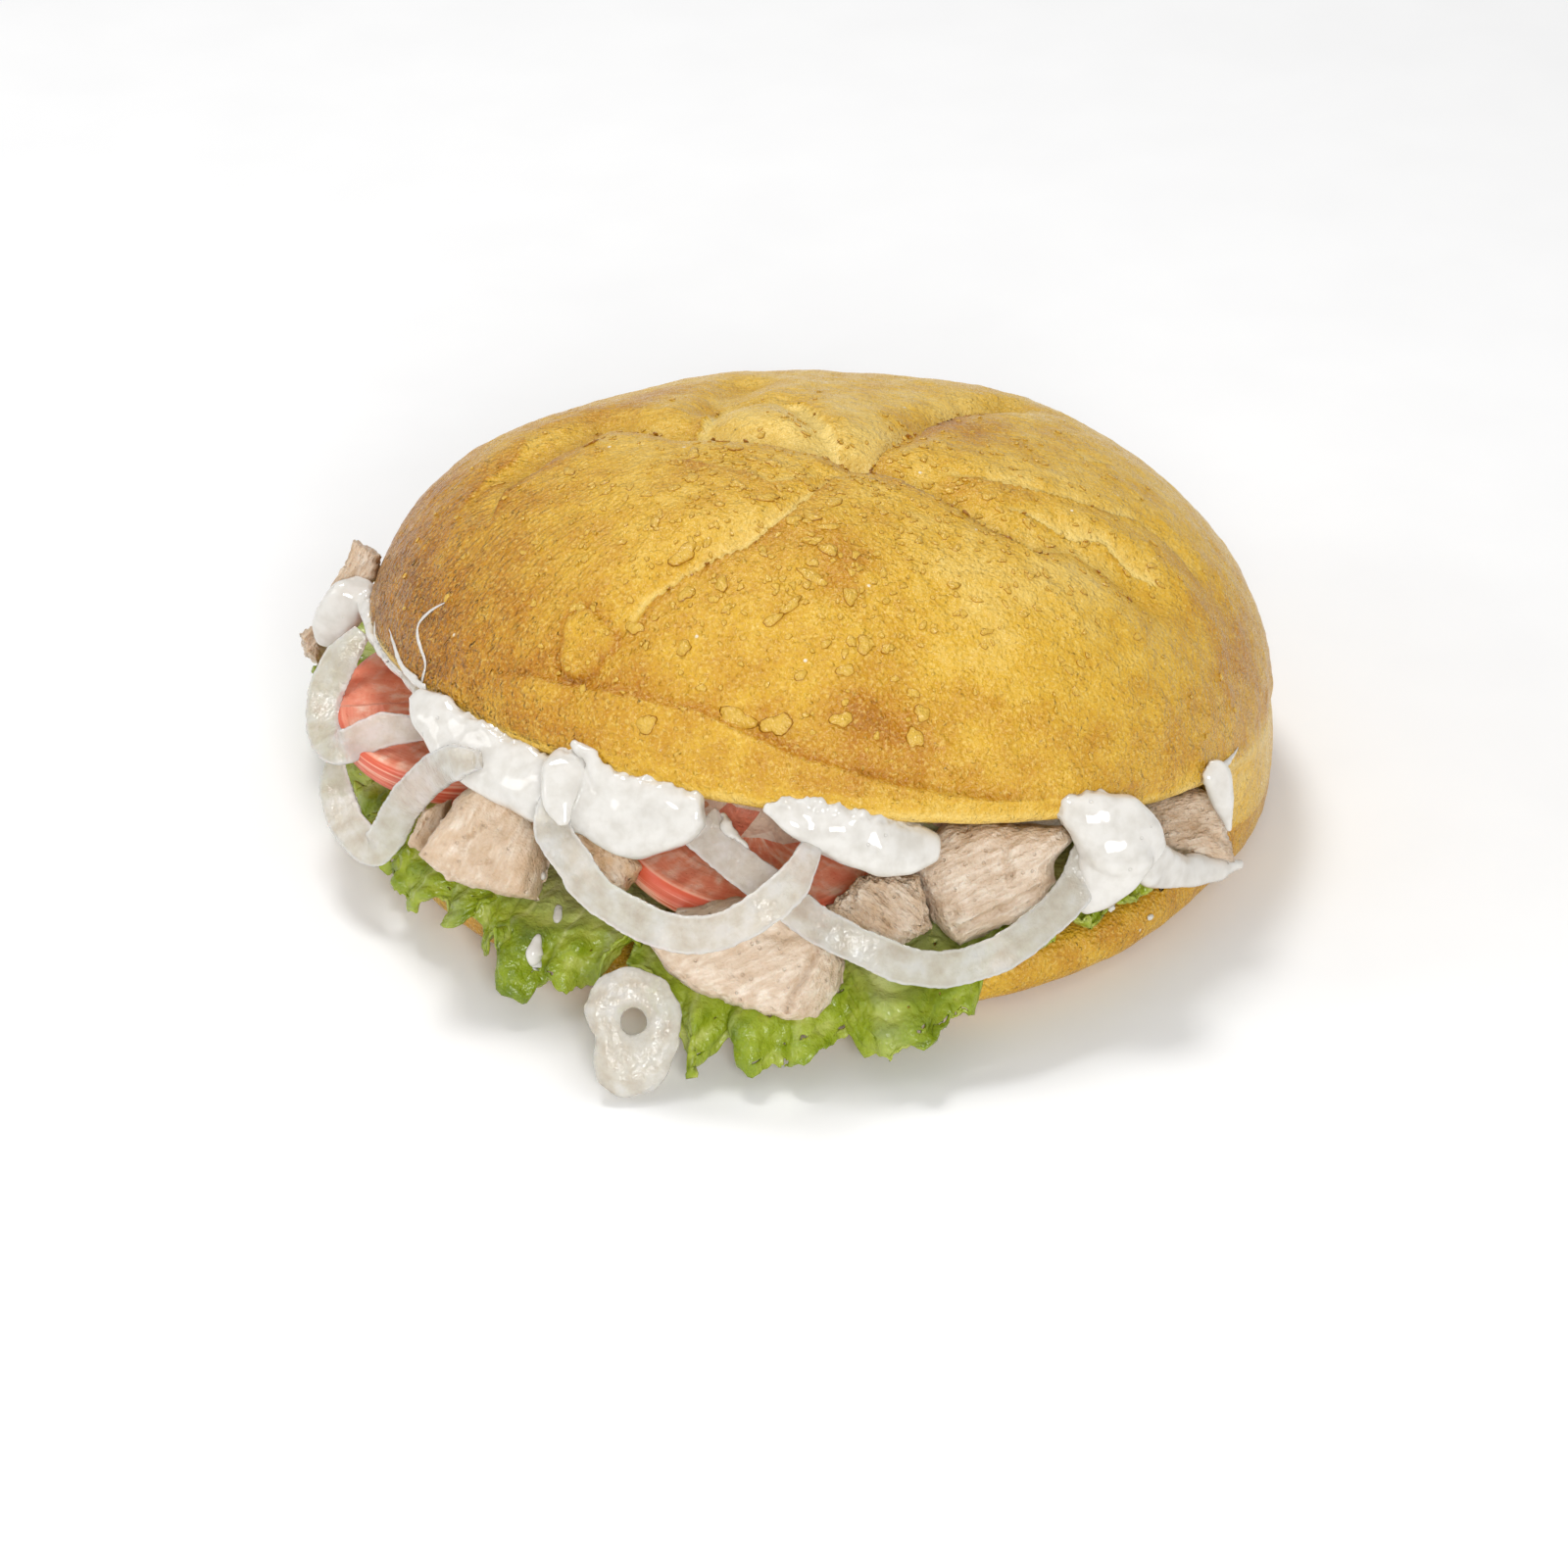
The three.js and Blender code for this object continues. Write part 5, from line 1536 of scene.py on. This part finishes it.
def add_floor():
    bm = bmesh.new()
    bmesh.ops.create_grid(bm, x_segments=8, y_segments=8, size=FLOOR_HALF_SIDE)
    floor = bpy.data.objects.new("studio_floor", mesh_of(bm, "studio_floor"))
    bpy.context.scene.collection.objects.link(floor)
    paper = Finish("white_paper")
    paper.colour(paper.ramp(paper.noise(30), (0.3, (0.97, 0.97, 0.97, 1)), (0.7, (0.99, 0.99, 0.99, 1))))
    paper.set(Roughness=0.9, Specular_IOR_Level=0.1)
    floor.data.materials.append(paper.material)


def add_softbox(name, place, size, power):
    """A square soft light that faces the sandwich."""
    light = bpy.data.lights.new(name, "AREA")
    light.shape = "SQUARE"
    light.size = size
    light.energy = power
    lamp = bpy.data.objects.new(name, light)
    lamp.location = place
    aim = Vector(LIGHTS_AIM_AT) - Vector(place)
    lamp.rotation_euler = aim.to_track_quat("-Z", "Y").to_euler()
    bpy.context.scene.collection.objects.link(lamp)


# Each softbox: its name, place and side in metres, and its power in watts
SOFTBOXES = [
    ("key_softbox", (-0.2, 0.3, 1.1), 0.3, 5.0),
    ("front_fill", (0.1, -1.0, 0.5), 0.3, 5.7),
    ("left_fill", (-1.0, -0.2, 0.6), 0.4, 1.8),
]
ROOM_LIGHT = 0.47


def add_lights():
    for softbox in SOFTBOXES:
        add_softbox(*softbox)
    world = bpy.data.worlds.new("white_room")
    world.use_nodes = True
    room = world.node_tree.nodes["Background"]
    room.inputs["Color"].default_value = (1, 1, 1, 1)
    room.inputs["Strength"].default_value = ROOM_LIGHT
    bpy.context.scene.world = world


CAMERA_PLACE = (-0.00791, -0.76344, 0.47662)
CAMERA_LOOKS_DOWN = math.radians(32)
CAMERA_ROLL = math.radians(1.47)
CAMERA_LENS = 107.7


def add_camera():
    data = bpy.data.cameras.new("camera")
    data.sensor_width = 36
    data.lens = CAMERA_LENS
    camera = bpy.data.objects.new("camera", data)
    aim = Euler((math.pi / 2 - CAMERA_LOOKS_DOWN, 0, 0)).to_matrix()
    turned = aim @ Matrix.Rotation(-CAMERA_ROLL, 3, "Z")
    camera.matrix_world = Matrix.Translation(CAMERA_PLACE) @ turned.to_4x4()
    bpy.context.scene.collection.objects.link(camera)
    bpy.context.scene.camera = camera


def add_sandwich():
    bread = bread_mesh()
    crust = surface_of(bread)
    blisters = blister_mesh(crust)
    finished_piece(bread, crust_finish(), "bread")
    finished_piece(blisters, blister_finish())
    meat = chicken_finish()
    carriers = [crust]
    for number, chunk in enumerate(CHICKEN, 1):
        piece = chicken_mesh(chunk, number)
        carriers.append(surface_of(piece))
        finished_piece(piece, meat, f"chicken_{number}")
    tomato = tomato_finish()
    for number, slice_ in enumerate(TOMATOES, 1):
        finished_piece(tomato_mesh(slice_, number), tomato, f"tomato_{number}")
    onion = onion_finish()
    for number, (start, path) in enumerate(ONIONS, 1):
        strip = onion_mesh(start, path, number)
        carriers.append(surface_of(strip))
        finished_piece(strip, onion, f"onion_{number}")
    finished_piece(small_ring_mesh(), onion, "onion_5")
    lettuce = lettuce_finish()
    for number, edge in enumerate(LEAVES, 1):
        leaf = leaf_mesh(edge, number)
        carriers.append(surface_of(leaf))
        finished_piece(leaf, lettuce, f"lettuce_{number}")
    sauce = sauce_finish()
    for number, strands in enumerate(SAUCES, 1):
        run = sauce_mesh(strands, number, crust)
        carriers.append(surface_of(run))
        finished_piece(run, sauce, f"sauce_{number}")
    finished_piece(drips_mesh(carriers), sauce)
    finished_piece(filling_mesh(), filling_finish(), "filling")


add_camera()
add_lights()
add_floor()
add_sandwich()
bpy.context.scene.view_settings.view_transform = "Standard"
